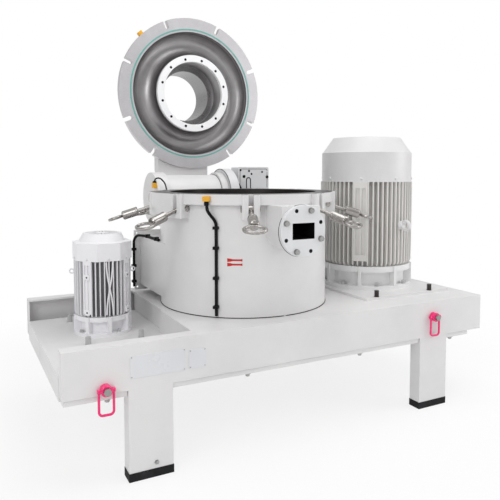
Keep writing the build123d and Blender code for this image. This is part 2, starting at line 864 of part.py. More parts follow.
with BuildPart() as lid:
    add(lid_back(0).sketch)
    revolve(axis=lid_axis)
    with BuildSketch(lid_section):
        with BuildLine():
            ThreePointArc((hub_radius, 0), (groove_mid, groove_depth), (neck_radius, 0))
            Line((neck_radius, 0), (hub_radius, 0))
        make_face()
        with Locations((hub_bore_radius / 2, neck_length / 2)):
            Rectangle(hub_bore_radius, neck_length)
    revolve(axis=lid_axis, mode=Mode.SUBTRACT)
    # U slots for the swing bolts in the rim
    for angle in clamp_angles:
        turn = radians(angle)
        with BuildSketch(Plane(origin=lid_plane.origin, x_dir=(sin(turn), 0, cos(turn)), z_dir=(0, 1, 0))):
            with Locations((slot_end_radius + lid_radius / 2, 0)):
                Rectangle(lid_radius, clamp_slot)
            with Locations((slot_end_radius, 0)):
                Circle(clamp_slot / 2)
        extrude(amount=lid_flange, mode=Mode.SUBTRACT)
save(lid, "lid")

# Ring round the classifier opening, with its circle of screw holes
with BuildPart() as hub_ring:
    with BuildSketch(lid_plane):
        Circle(hub_radius - hub_edge)
        Circle(hub_bore_radius, mode=Mode.SUBTRACT)
    extrude(amount=-hub_height)
    chamfer(hub_ring.faces().sort_by(Axis.Y)[0].edges(), length=hub_edge)
    with BuildSketch(lid_plane.offset(-hub_height)):
        with PolarLocations(hub_hole_circle, hub_hole_count, start_angle=hub_hole_start):
            Circle(hub_hole_radius)
    extrude(amount=hub_hole_depth, mode=Mode.SUBTRACT)
save(hub_ring, "hub_ring")

# Outlet pipe with a flange at each end, on the back of the lid
with BuildPart() as outlet_pipe:
    with BuildSketch(lid_plane.offset(neck_length)):
        Circle(neck_outer - outlet_step)
    extrude(amount=outlet_flange_thickness)
    with BuildSketch(lid_plane.offset(neck_length + outlet_flange_thickness)):
        Circle(outlet_radius + outlet_wall)
    extrude(amount=outlet_end - neck_length - 2 * outlet_flange_thickness)
    with BuildSketch(lid_plane.offset(outlet_end - outlet_flange_thickness)):
        Circle(outlet_flange_radius)
        with PolarLocations(outlet_hole_circle, outlet_hole_count):
            Circle(outlet_hole_radius, mode=Mode.SUBTRACT)
    extrude(amount=outlet_flange_thickness)
    with BuildSketch(lid_plane.offset(neck_length)):
        Circle(outlet_radius)
    extrude(amount=outlet_end - neck_length, mode=Mode.SUBTRACT)
save(outlet_pipe, "outlet_pipe")

# Flat seal ring, a little proud of the lid's sealing face
with BuildPart() as lid_seal:
    with BuildSketch(lid_plane):
        Circle(seal_radius + seal_width / 2)
        Circle(seal_radius - seal_width / 2, mode=Mode.SUBTRACT)
    extrude(amount=-(flange_gap - running_gap))
save(lid_seal, "lid_seal")

# Lid arm: hinge barrel, plate behind the lid's rim and two ribs that follow the lid's back
arm_side = Plane(origin=(arm_left_x, 0, 0), x_dir=(0, 1, 0), z_dir=(1, 0, 0))
rim_back_y = lid_face_y + lid_flange
rib_outer_y = lid_face_y + groove_depth + lid_wall + arm_rib_cover
with BuildPart() as lid_arm:
    with BuildSketch(arm_side):
        with Locations((hinge_y, hinge_z)):
            Circle(knuckle_radius)
        with BuildLine():
            Polyline(
                (rim_back_y, hinge_z),
                (rim_back_y, hinge_z + arm_plate_height),
                (rim_back_y + arm_plate, hinge_z + arm_plate_height),
                (rim_back_y + arm_plate, hinge_z),
                close=True,
            )
        make_face()
        with Locations((hinge_y, hinge_z)):
            Circle(hinge_pin_radius + running_gap, mode=Mode.SUBTRACT)
    extrude(amount=arm_width)
    for offset in (arm_rib_inset, arm_width - arm_rib_inset - arm_rib):
        with BuildSketch(arm_side.offset(offset)):
            with BuildLine():
                Polyline(
                    (rim_back_y, hinge_z + knuckle_radius * rib_start),
                    (rib_outer_y, hinge_z + knuckle_radius * rib_full),
                    (rib_outer_y, hinge_z + arm_rib_height),
                    (rim_back_y, hinge_z + arm_rib_height),
                    close=True,
                )
            make_face()
        extrude(amount=arm_rib)
    add(lid_back(running_gap).sketch)
    revolve(axis=lid_axis, mode=Mode.SUBTRACT)
save(lid_arm, "lid_arm")

# Wear liner round the grinding zone, open at the feed port
with BuildPart() as wear_liner:
    with BuildSketch(Plane.XY.offset(liner_bottom)):
        with Locations((housing_x, 0)):
            Circle(chamber_radius - running_gap)
            Circle(chamber_radius - liner_thickness, mode=Mode.SUBTRACT)
    extrude(amount=liner_height)
    with BuildSketch(port_plane):
        Rectangle(port_width, port_height)
    extrude(amount=port_face_y + port_flange_thickness + liner_reach, mode=Mode.SUBTRACT)
save(wear_liner, "wear_liner")

# Bearing cartridge: fixed column round the hollow rotor shaft, bolted to the main deck
cartridge_top = rotor_z - hub_depth - flange_gap
with BuildPart() as bearing_cartridge:
    with BuildSketch(housing_section):
        with BuildLine():
            Polyline(
                (rotor_shaft_radius + running_gap, cartridge_bottom),
                (cartridge_radius, cartridge_bottom),
                (cartridge_radius, deck_top),
                (cartridge_flange_radius, deck_top),
                (cartridge_flange_radius, deck_top + cartridge_flange_thickness),
                (cartridge_radius, deck_top + cartridge_flange_thickness),
                (cartridge_radius, cartridge_top),
                (rotor_shaft_radius + running_gap, cartridge_top),
                close=True,
            )
        make_face()
    revolve(axis=housing_axis)
save(bearing_cartridge, "bearing_cartridge")

# Baffle ring round the classifier wheel, carried by arms from the chamber wall
with BuildPart() as baffle_ring:
    baffle_bottom = baffle_top - baffle_height
    with BuildSketch(Plane.XY.offset(baffle_bottom)):
        with Locations((housing_x, 0)):
            Circle(baffle_radius + baffle_wall)
            Circle(baffle_radius, mode=Mode.SUBTRACT)
    extrude(amount=baffle_height)
    for angle in baffle_arm_angles:
        with BuildSketch(level_plane(angle, baffle_bottom)):
            with Locations(((baffle_radius + chamber_radius - running_gap) / 2 + baffle_wall / 4, 0)):
                Rectangle(chamber_radius - running_gap - baffle_radius - baffle_wall / 2, baffle_arm)
        extrude(amount=baffle_arm_height)
save(baffle_ring, "baffle_ring")

# Pulleys, each keyed on the lower end of its shaft
def with_pulley(shaft, centre, bottom, radius, belts, bore):
    """Shaft and the grooved pulley keyed on it, bored like the shaft."""
    width = belts * belt_pitch
    side = Plane(origin=(centre[0], centre[1], bottom), x_dir=(1, 0, 0), z_dir=(0, -1, 0))
    with BuildPart() as wheel:
        with BuildSketch(Plane.XY.offset(bottom - pulley_rim)):
            with Locations(centre):
                Circle(radius + belt_thickness * pulley_rim_share)
        extrude(amount=width + 2 * pulley_rim)
        with BuildSketch(side):
            for i in range(belts):
                with Locations((radius + belt_thickness, (i + 0.5) * belt_pitch)):
                    Rectangle(2 * belt_thickness, belt_width + 2 * running_gap)
        revolve(axis=Axis((centre[0], centre[1], 0), (0, 0, 1)), mode=Mode.SUBTRACT)
        add(shaft.part)
        if bore:
            with BuildSketch(Plane.XY.offset(bottom - pulley_rim)):
                with Locations(centre):
                    Circle(bore)
            extrude(amount=width + 2 * pulley_rim, mode=Mode.SUBTRACT)
    return wheel


rotor_centre = (housing_x, 0)

# Hollow rotor shaft
with BuildPart() as rotor_shaft:
    with BuildSketch(Plane.XY.offset(main_belt_bottom - pulley_rim)):
        with Locations((housing_x, 0)):
            Circle(rotor_shaft_radius)
            Circle(classifier_shaft_radius + running_gap, mode=Mode.SUBTRACT)
    extrude(amount=rotor_z + rotor_thickness - main_belt_bottom + pulley_rim)
rotor_bore = classifier_shaft_radius + running_gap
rotor_drive = with_pulley(
    rotor_shaft, rotor_centre, main_belt_bottom, rotor_pulley_radius, main_belt_count, rotor_bore
)
save(rotor_drive, "rotor_shaft")

# Grinding rotor: disc with a hub below and a ring of beaters on its rim
with BuildPart() as grinding_rotor:
    with BuildSketch(Plane.XY.offset(rotor_z - hub_depth)):
        with Locations((housing_x, 0)):
            Circle(rotor_hub_radius)
    extrude(amount=hub_depth)
    with BuildSketch(Plane.XY.offset(rotor_z)):
        with Locations((housing_x, 0)):
            Circle(rotor_radius)
    extrude(amount=rotor_thickness)
    with BuildSketch(Plane.XY.offset(rotor_z + rotor_thickness)):
        with Locations((housing_x, 0)):
            with PolarLocations(rotor_radius - beater_depth / 2, beater_count):
                Rectangle(beater_depth, beater_width)
    extrude(amount=beater_height)
    with BuildSketch(Plane.XY.offset(rotor_z - hub_depth)):
        with Locations((housing_x, 0)):
            Circle(rotor_shaft_radius + running_gap / 3)
    extrude(amount=hub_depth + rotor_thickness, mode=Mode.SUBTRACT)
save(grinding_rotor, "grinding_rotor")

# Classifier shaft inside the hollow rotor shaft, with a collar that carries the wheel
with BuildPart() as classifier_shaft:
    with BuildSketch(Plane.XY.offset(classifier_belt_bottom - pulley_rim)):
        with Locations((housing_x, 0)):
            Circle(classifier_shaft_radius)
    extrude(amount=wheel_bottom + wheel_plate + shaft_nut - classifier_belt_bottom + pulley_rim)
    with BuildSketch(Plane.XY.offset(wheel_bottom - shaft_collar)):
        with Locations((housing_x, 0)):
            Circle(classifier_shaft_radius * 2)
    extrude(amount=shaft_collar)
classifier_drive = with_pulley(
    classifier_shaft, rotor_centre, classifier_belt_bottom, classifier_pulley_radius, classifier_belt_count, 0
)
save(classifier_drive, "classifier_shaft")

# Classifier wheel: bottom disc, upright blades and open top ring
with BuildPart() as classifier_wheel:
    with BuildSketch(Plane.XY.offset(wheel_bottom)):
        with Locations((housing_x, 0)):
            Circle(wheel_radius)
            Circle(classifier_shaft_radius + running_gap / 3, mode=Mode.SUBTRACT)
    extrude(amount=wheel_plate)
    with BuildSketch(Plane.XY.offset(wheel_bottom + wheel_plate)):
        with Locations((housing_x, 0)):
            with PolarLocations(wheel_radius - blade_depth / 2 - blade_inset, wheel_blades):
                Rectangle(blade_depth, blade_thickness)
    extrude(amount=wheel_height - 2 * wheel_plate)
    with BuildSketch(Plane.XY.offset(wheel_bottom + wheel_height - wheel_plate)):
        with Locations((housing_x, 0)):
            Circle(wheel_radius)
            Circle(wheel_radius - blade_depth - 2 * blade_inset, mode=Mode.SUBTRACT)
    extrude(amount=wheel_plate)
save(classifier_wheel, "classifier_wheel")


# Motors: finned frame with its end shield and mounting flange, and the fan cowl above
def motor_frame(centre, base_z, base, shield, core, fins, shaft_bore, box):
    """Finned motor frame on its flange, bored for its shaft and cut out for its terminal box."""
    # base and shield: radius and top; fins: radius, count, thickness and top
    base_radius, base_top = base
    shield_radius, shield_top = shield
    fin_radius, fin_count, fin_thickness, fins_top = fins
    box_angle, box_width, box_bottom, box_height = box
    fin_depth = fin_radius - core + fin_root
    side = Plane(origin=(centre[0], centre[1], 0), x_dir=(1, 0, 0), z_dir=(0, -1, 0))
    with BuildPart() as frame:
        with BuildSketch(Plane.XY.offset(base_z)):
            with Locations(centre):
                Circle(base_radius)
                with PolarLocations(base_radius - base_hole_inset, base_hole_count, base_hole_start):
                    Circle(base_hole_radius, mode=Mode.SUBTRACT)
        extrude(amount=base_top - base_z)
        with BuildSketch(Plane.XY.offset(base_top)):
            with Locations(centre):
                Circle(shield_radius)
        extrude(amount=shield_top - base_top)
        with BuildSketch(Plane.XY.offset(base_top)):
            with Locations(centre):
                with PolarLocations((shield_radius + base_radius) / 2, shield_rib_count, shield_rib_start):
                    Rectangle(base_radius - shield_radius + fin_root, shield_rib)
        extrude(amount=shield_top - base_top)
        with BuildSketch(Plane.XY.offset(shield_top - (shield_top - base_top) * collar_share)):
            with Locations(centre):
                Circle(base_radius - fin_root)
        extrude(amount=(shield_top - base_top) * collar_share)
        with BuildSketch(Plane.XY.offset(shield_top)):
            with Locations(centre):
                Circle(core)
                with PolarLocations((fin_radius + core - fin_root) / 2, fin_count):
                    Rectangle(fin_depth, fin_thickness)
        extrude(amount=fins_top - shield_top)
        # Rounded lower ends of the fins
        cut = fin_radius - core
        with BuildSketch(side):
            with BuildLine():
                Line((fin_radius + 1, shield_top - 1), (core + cut * fin_end_low, shield_top - 1))
                ThreePointArc(
                    (core + cut * fin_end_low, shield_top - 1),
                    (fin_radius - cut * fin_end_mid, shield_top + cut * fin_end_mid),
                    (fin_radius + 1, shield_top + cut * fin_end_high),
                )
                Line((fin_radius + 1, shield_top + cut * fin_end_high), (fin_radius + 1, shield_top - 1))
            make_face()
        revolve(axis=Axis((centre[0], centre[1], 0), (0, 0, 1)), mode=Mode.SUBTRACT)
        # Wide pads with three ribs, at the four quarters
        pad_bottom = shield_top + cut * fin_end_high
        with BuildSketch(Plane.XY.offset(pad_bottom)):
            with Locations(centre):
                with PolarLocations((fin_radius + core) / 2, 4, start_angle=pad_start):
                    Rectangle(cut, cut * pad_width_share)
        extrude(amount=fins_top - pad_bottom)
        slot_width = cut * pad_slot_share
        with BuildSketch(Plane.XY.offset(pad_bottom + cut * pad_end_share)):
            with Locations(centre):
                with PolarLocations(fin_radius, 4, start_angle=pad_start):
                    with Locations((0, cut * pad_slot_shift_share), (0, -cut * pad_slot_shift_share)):
                        Rectangle(slot_width, slot_width)
        extrude(amount=fins_top - pad_bottom - 2 * cut * pad_end_share, mode=Mode.SUBTRACT)
        # Seat of the terminal box
        with BuildSketch(facing(centre, box_angle, box_bottom)):
            with Locations((core + fin_radius, 0)):
                Rectangle(2 * fin_radius, box_width + 2 * running_gap)
        extrude(amount=box_height, mode=Mode.SUBTRACT)
        with BuildSketch(Plane.XY.offset(base_z)):
            with Locations(centre):
                Circle(shaft_bore)
        extrude(amount=fins_top - base_z, mode=Mode.SUBTRACT)
    return frame


def fan_cowl(centre, bottom, shoulder, top, radius, neck, cap, flat=0.0):
    """Sheet cowl with skirt, shoulder and slotted top, its skirt eight-sided where a flat is given."""
    side = Plane(origin=(centre[0], centre[1], 0), x_dir=(1, 0, 0), z_dir=(0, -1, 0))
    with BuildPart() as cowl:
        with BuildSketch(side):
            with BuildLine():
                Polyline(
                    (radius, bottom),
                    (radius, shoulder),
                    (neck, shoulder + cowl_wall),
                    (cap, top),
                    (0, top),
                    (0, top - cowl_wall),
                    (cap - cowl_wall, top - cowl_wall),
                    (neck - cowl_wall, shoulder),
                    (radius - cowl_wall, shoulder - cowl_wall),
                    (radius - cowl_wall, bottom),
                    close=True,
                )
            make_face()
        revolve(axis=Axis((centre[0], centre[1], 0), (0, 0, 1)))
        if flat:
            with BuildSketch(Plane.XY.offset(bottom)) as skirt:
                with Locations(centre):
                    RegularPolygon(flat, cowl_sides, major_radius=False, rotation=180 / cowl_sides)
                fillet(skirt.vertices(), radius=small_cowl_corner)
                with Locations(centre):
                    Circle(radius - cowl_wall, mode=Mode.SUBTRACT)
            extrude(amount=shoulder - bottom)
        with BuildSketch(Plane.XY.offset(top - cowl_wall)):
            with Locations(centre):
                with PolarLocations(cap * air_slot_place, air_slots):
                    SlotOverall(cap * air_slot_length, air_slot_width)
        extrude(amount=cowl_wall, mode=Mode.SUBTRACT)
    return cowl


def terminal_box(centre, seat_radius, box):
    """Cast terminal box with a lid, on the seat cut into the fins."""
    box_angle, box_width, box_bottom, box_height = box
    outward = facing(centre, box_angle, box_bottom)
    reach = box_width * box_reach
    with BuildPart() as terminal:
        with BuildSketch(outward):
            with Locations((seat_radius + reach / 2, 0)):
                RectangleRounded(reach, box_width, box_width * box_rounding)
        extrude(amount=box_height)
        with BuildSketch(outward.offset(box_height * box_lid_margin)):
            with Locations((seat_radius + reach, 0)):
                Rectangle(box_lid, box_width * box_lid_share)
        extrude(amount=box_height * box_lid_share)
        with BuildSketch(Plane.XY.offset(box_bottom)):
            with Locations(centre):
                Circle(seat_radius + running_gap)
        extrude(amount=box_height, mode=Mode.SUBTRACT)
    return terminal


def motor_shaft(centre, bottom, radius, fan_bottom, fan_top, fan_radius):
    """Shaft from the pulley to the fan, with the fan's hub disc and blades."""
    with BuildPart() as shaft:
        with BuildSketch(Plane.XY.offset(bottom)):
            with Locations(centre):
                Circle(radius)
        extrude(amount=fan_top - bottom)
        with BuildSketch(Plane.XY.offset(fan_bottom)):
            with Locations(centre):
                Circle(fan_radius * fan_hub_share)
        extrude(amount=cowl_wall)
        with BuildSketch(Plane.XY.offset(fan_bottom + cowl_wall)):
            with Locations(centre):
                with PolarLocations(fan_radius / 2 + radius / 2 - 1, fan_blades):
                    Rectangle(fan_radius - radius + 2, cowl_wall)
        extrude(amount=fan_top - fan_bottom - cowl_wall)
    return shaft


main_centre = (motor_x, motor_y)
small_centre = (small_x, small_y)
main_box = (main_box_angle, main_box_width, main_box_bottom, main_box_height)
small_box = (small_box_angle, small_box_width, small_box_bottom, small_box_height)

# Plate under the main motor
with BuildPart() as motor_plate:
    with BuildSketch(Plane.XY.offset(deck_top)):
        with Locations(main_centre):
            Rectangle(motor_plate_width, motor_plate_length)
            Circle(motor_shaft_radius + running_gap, mode=Mode.SUBTRACT)
    extrude(amount=motor_plate_thickness)
save(motor_plate, "motor_plate")

main_motor = motor_frame(
    main_centre,
    plate_top,
    (motor_base_radius, plate_top + motor_base_thickness),
    (motor_shield_radius, motor_fins_bottom),
    motor_core_radius,
    (motor_fin_radius, motor_fins, motor_fin_thickness, motor_fins_top),
    motor_shaft_radius + running_gap,
    main_box,
)
save(main_motor, "main_motor")
save(
    fan_cowl(
        main_centre,
        motor_fins_top,
        motor_cowl_shoulder,
        motor_cowl_top,
        motor_fin_radius - cowl_wall,
        motor_cowl_neck,
        motor_cowl_cap_radius,
    ),
    "main_motor_cowl",
)
classifier_motor = motor_frame(
    small_centre,
    recess_top,
    (small_base_radius, recess_top + small_base_thickness),
    (small_shield_radius, small_fins_bottom),
    small_core_radius,
    (small_fin_radius, small_fins, small_fin_thickness, small_fins_top),
    small_shaft_radius + running_gap,
    small_box,
)
save(classifier_motor, "classifier_motor")
save(
    fan_cowl(
        small_centre,
        small_fins_top,
        small_cowl_shoulder,
        small_cowl_top,
        small_cowl_radius,
        small_cowl_neck,
        small_cowl_cap_radius,
        small_cowl_flat,
    ),
    "classifier_motor_cowl",
)
with BuildPart() as terminal_boxes:
    add(terminal_box(main_centre, motor_core_radius, main_box).part)
    add(terminal_box(small_centre, small_core_radius, small_box).part)
save(terminal_boxes, "terminal_boxes")

main_shaft_bottom = main_belt_bottom - pulley_rim
small_shaft_bottom = classifier_belt_bottom - pulley_rim
main_shaft = motor_shaft(
    main_centre,
    main_shaft_bottom,
    motor_shaft_radius,
    motor_fins_top + fan_lift,
    motor_fins_top + fan_lift + main_fan_height,
    motor_cowl_cap_radius,
)
main_drive = with_pulley(main_shaft, main_centre, main_belt_bottom, motor_pulley_radius, main_belt_count, 0)
save(main_drive, "main_motor_shaft")
small_shaft = motor_shaft(
    small_centre,
    small_shaft_bottom,
    small_shaft_radius,
    small_fins_top + fan_lift,
    small_fins_top + fan_lift + small_fan_height,
    small_cowl_cap_radius,
)
small_drive = with_pulley(
    small_shaft, small_centre, classifier_belt_bottom, small_pulley_radius, classifier_belt_count, 0
)
save(small_drive, "classifier_motor_shaft")

# Bolts of both motors, and the set screws of the main motor's plate
main_base_bolts = [
    (motor_x + x, motor_y + y)
    for x, y in on_circle(motor_base_radius - base_bolt_inset, [base_hole_start + i * 45 for i in range(8)])
]
small_base_bolts = [
    (small_x + x, small_y + y)
    for x, y in on_circle(small_base_radius - small_bolt_inset, [base_hole_start + i * 90 for i in range(4)])
]
plate_screws = [
    (motor_x + plate_screw_shift + sx * plate_screw_x, motor_y + sy * plate_screw_y)
    for sx in (-1, 1)
    for sy in (-1, 1)
]
deck_studs = [
    (small_x + deck_stud_shift + sx * deck_stud_x, small_y + deck_stud_shift_y + sy * deck_stud_y)
    for sx in (-1, 1)
    for sy in (-1, 1)
]
with BuildPart() as motor_bolts:
    main_seat = Plane.XY.offset(plate_top + motor_base_thickness)
    small_seat = Plane.XY.offset(recess_top + small_base_thickness)
    add(hex_bolts(main_seat, main_base_bolts, *base_bolt_size).part)
    add(hex_bolts(small_seat, small_base_bolts, *small_bolt_size).part)
    add(hex_bolts(Plane.XY.offset(plate_top), plate_screws, *plate_screw_size).part)
    add(hex_bolts(Plane.XY.offset(recess_top), deck_studs, *deck_stud_size).part)
save(motor_bolts, "motor_bolts")


# Endless belts round each pair of pulleys
def belt_set(first, first_radius, second, second_radius, bottom, belts):
    """Endless belts round two pulleys, each a closed loop of even thickness."""
    with BuildSketch() as inner:
        with Locations(first):
            Circle(first_radius + running_gap)
        with Locations(second):
            Circle(second_radius + running_gap)
        make_hull()
    with BuildPart() as loops:
        for i in range(belts):
            with BuildSketch(Plane.XY.offset(bottom + i * belt_pitch + (belt_pitch - belt_width) / 2)):
                with Locations(first):
                    Circle(first_radius + running_gap + belt_thickness)
                with Locations(second):
                    Circle(second_radius + running_gap + belt_thickness)
                make_hull()
                add(inner.sketch, mode=Mode.SUBTRACT)
            extrude(amount=belt_width)
    return loops


with BuildPart() as drive_belts:
    main_belts = belt_set(
        main_centre, motor_pulley_radius, rotor_centre, rotor_pulley_radius, main_belt_bottom, main_belt_count
    )
    add(main_belts.part)
    small_belts = belt_set(
        small_centre,
        small_pulley_radius,
        rotor_centre,
        classifier_pulley_radius,
        classifier_belt_bottom,
        classifier_belt_count,
    )
    add(small_belts.part)
save(drive_belts, "drive_belts")


# Lifting rings: a swivel base on the beam's web and a ring that hangs from its cross pin
def swivel_base(x, z, side):
    """Round swivel base with a bolt head and the two ends of its cross pin."""
    wall = Plane(origin=(x, side * half_width, z), x_dir=(1, 0, 0), z_dir=(0, side, 0))
    with BuildPart() as base:
        with BuildSketch(wall.offset(running_gap)):
            Circle(lift_base_radius)
        extrude(amount=lift_base_length - running_gap)
        outer_rim = base.faces().sort_by(Axis.Y)[-1 if side > 0 else 0].edges()
        chamfer(outer_rim, length=lift_base_edge)
        with BuildSketch(wall.offset(lift_base_length)):
            RegularPolygon(radius=lift_base_radius * lift_head_share, side_count=6)
        extrude(amount=lift_head)
        pin_y = side * (half_width + lift_pin_y)
        with BuildSketch(Plane(origin=(x, pin_y, z), x_dir=(0, 1, 0), z_dir=(1, 0, 0))):
            Circle(lift_pin_radius)
        extrude(amount=lift_ring_width / 2, both=True)
    return base


def hanging_ring(x, z, side):
    """Bow of round bar with an eye on each end of the cross pin, hanging straight down."""
    middle = Plane(origin=(x, side * (half_width + lift_pin_y), z), x_dir=(-side, 0, 0), z_dir=(0, side, 0))
    leg = (lift_ring_width - lift_ring_bar) / 2
    lowest = lift_ring_bar / 2 - lift_ring_drop
    with BuildPart() as ring:
        with BuildLine(middle) as path:
            FilletPolyline((-leg, 0), (-leg, lowest), (leg, lowest), (leg, 0), radius=lift_ring_bend)
        with BuildSketch(Plane(origin=path.line @ 0, z_dir=path.line % 0)):
            Circle(lift_ring_bar / 2)
        sweep()
        for end in (-leg, leg):
            with BuildSketch(Plane(origin=(x + end, middle.origin.Y, z), x_dir=(0, 1, 0), z_dir=(1, 0, 0))):
                Circle(lift_eye_radius)
            extrude(amount=lift_eye_width / 2, both=True)
        with BuildSketch(Plane(origin=middle.origin, x_dir=(0, 1, 0), z_dir=(1, 0, 0))):
            Circle(lift_pin_radius + running_gap)
        extrude(amount=lift_ring_width, both=True, mode=Mode.SUBTRACT)
    return ring


lift_places = [
    (lift_left, -1, "front_left"),
    (lift_right, -1, "front_right"),
    (lift_left, 1, "rear_left"),
    (lift_right, 1, "rear_right"),
]
for (x, z), side, name in lift_places:
    save(swivel_base(x, z, side), f"lifting_swivel_{name}")
    save(hanging_ring(x, z, side), f"lifting_ring_{name}")

# Sensors: one on the housing flange, one on the left hinge ear
sensor_plane = level_plane(sensor_angle, sensor_bottom)
with BuildPart() as sensors:
    with BuildSketch(sensor_plane):
        with Locations((body_flange_radius + running_gap + sensor_depth / 2, 0)):
            RectangleRounded(sensor_depth, sensor_width, sensor_rounding)
    extrude(amount=sensor_height)
    ear_side = Plane(origin=(left_ear_x - running_gap, hinge_y, hinge_z), x_dir=(0, 1, 0), z_dir=(-1, 0, 0))
    with BuildSketch(ear_side):
        with Locations(ear_sensor_place):
            RectangleRounded(sensor_width, sensor_width, sensor_rounding)
    extrude(amount=sensor_height)
save(sensors, "sensors")

# Sensor cables, held by clips all the way: down the front of the housing, and along the duct
wall_line = shell_radius + running_gap + cable_radius
flange_line = body_flange_radius + running_gap + cable_radius
duct_line_x = duct_left + cable_radius
duct_line_z = duct_bottom + duct_height + running_gap + cable_radius
flange_edge_x = duct_left - duct_flange_lip - running_gap - cable_radius
flange_front_y = duct_end_y - duct_flange_thickness
flange_edge_y = flange_front_y - running_gap - cable_radius * 1.5
front_route = [
    around(sensor_angle, flange_line, sensor_bottom),
    around(sensor_angle, flange_line, sensor_bottom - front_cable_drop),
    around(cable_angle, wall_line, sensor_bottom - front_cable_drop - front_cable_slant),
    around(cable_angle, wall_line, deck_top + front_cable_end),
]
duct_route = [
    (duct_line_x, duct_cable_start, duct_line_z),
    (duct_line_x, flange_edge_y - duct_cable_slant, duct_line_z),
    (flange_edge_x, flange_edge_y, duct_line_z),
    (flange_edge_x, flange_edge_y, duct_bottom - duct_cable_end),
]


def cable(route, radii):
    """Round cable along straight runs joined by tangent arcs."""
    with BuildPart() as lead:
        with BuildLine() as path:
            FilletPolyline(*route, radius=radii)
        with BuildSketch(Plane(origin=path.line @ 0, z_dir=path.line % 0)):
            Circle(cable_radius)
        sweep()
    length = path.wire().length
    share = lead.part.volume / (length * pi * cable_radius**2)
    print("cable length", round(length), "bend radii", radii, "share of its full volume", round(share, 4))
    return lead


with BuildPart() as sensor_cables:
    add(cable(front_route, front_cable_bends).part)
    add(cable(duct_route, duct_cable_bends).part)
save(sensor_cables, "sensor_cables")

# Cable clips: saddles on the wall, on top of the duct and on the front of its flange
clip_outer = cable_radius + clip_wall
with BuildPart() as cable_clips:
    for z in front_clip_heights:
        with BuildSketch(level_plane(cable_angle, z)):
            with Locations((shell_radius + running_gap + clip_outer, 0)):
                Rectangle(2 * clip_outer, 2 * clip_outer)
            with Locations((wall_line, 0)):
                Circle(cable_radius + running_gap, mode=Mode.SUBTRACT)
        extrude(amount=clip_length)
    with BuildSketch(Plane.XY.offset(front_clip_heights[-1])):
        with Locations((housing_x, 0)):
            Circle(shell_radius + running_gap / 2)
    extrude(amount=front_clip_heights[0] + clip_length - front_clip_heights[-1], mode=Mode.SUBTRACT)
    for y in duct_clip_places:
        with BuildSketch(Plane(origin=(duct_line_x, y, duct_line_z), x_dir=(1, 0, 0), z_dir=(0, -1, 0))):
            with Locations((0, clip_wall / 2)):
                Rectangle(2 * clip_outer, 2 * cable_radius + clip_wall)
            Circle(cable_radius + running_gap, mode=Mode.SUBTRACT)
        extrude(amount=clip_length)
    for z in flange_clip_heights:
        with BuildSketch(Plane.XY.offset(z)):
            with Locations((flange_edge_x, (flange_edge_y + flange_front_y - running_gap - clip_outer) / 2)):
                Rectangle(2 * clip_outer, flange_front_y - running_gap - flange_edge_y + clip_outer)
            with Locations((flange_edge_x, flange_edge_y)):
                Circle(cable_radius + running_gap, mode=Mode.SUBTRACT)
        extrude(amount=clip_length)
save(cable_clips, "cable_clips")
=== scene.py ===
"""Air classifying mill on its base frame: finishes, small fittings, camera and studio.

Everything is in metres in the part's own frame: X along the base frame, Y from front to rear,
Z up from the floor.
"""

import bmesh
import bpy
import numpy as np
from mathutils import Euler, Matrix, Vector


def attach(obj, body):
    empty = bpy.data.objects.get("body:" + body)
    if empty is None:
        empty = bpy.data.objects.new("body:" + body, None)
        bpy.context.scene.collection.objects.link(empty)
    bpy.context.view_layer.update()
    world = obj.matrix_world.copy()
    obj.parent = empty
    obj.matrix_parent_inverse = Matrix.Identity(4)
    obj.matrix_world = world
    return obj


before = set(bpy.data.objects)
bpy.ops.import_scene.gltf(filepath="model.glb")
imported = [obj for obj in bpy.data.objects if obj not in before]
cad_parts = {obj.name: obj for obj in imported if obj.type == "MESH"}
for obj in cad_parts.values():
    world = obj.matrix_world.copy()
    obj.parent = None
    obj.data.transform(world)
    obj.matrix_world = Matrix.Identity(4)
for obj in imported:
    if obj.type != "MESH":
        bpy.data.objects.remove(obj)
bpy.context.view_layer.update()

# Camera: at eye height to the left of the machine's front, looking along its length and a little down.
# The frame sits low in the picture, so the view is shifted down instead of tilted further.
focal_pixels = 573.21
picture_pixels = 500
lens_shift_pixels = -42.07
look_down, look_right = 3.64, 27.55
camera = bpy.data.objects.new("camera", bpy.data.cameras.new("camera"))
bpy.context.scene.collection.objects.link(camera)
camera.location = (-1.5707, -2.9254, 1.3354)
camera.rotation_euler = Euler(np.radians((90 - look_down, 0, -look_right)))
camera.data.sensor_width = 36
camera.data.lens = camera.data.sensor_width * focal_pixels / picture_pixels
camera.data.shift_y = lens_shift_pixels / picture_pixels
bpy.context.scene.camera = camera
bpy.context.scene.view_settings.view_transform = "Standard"


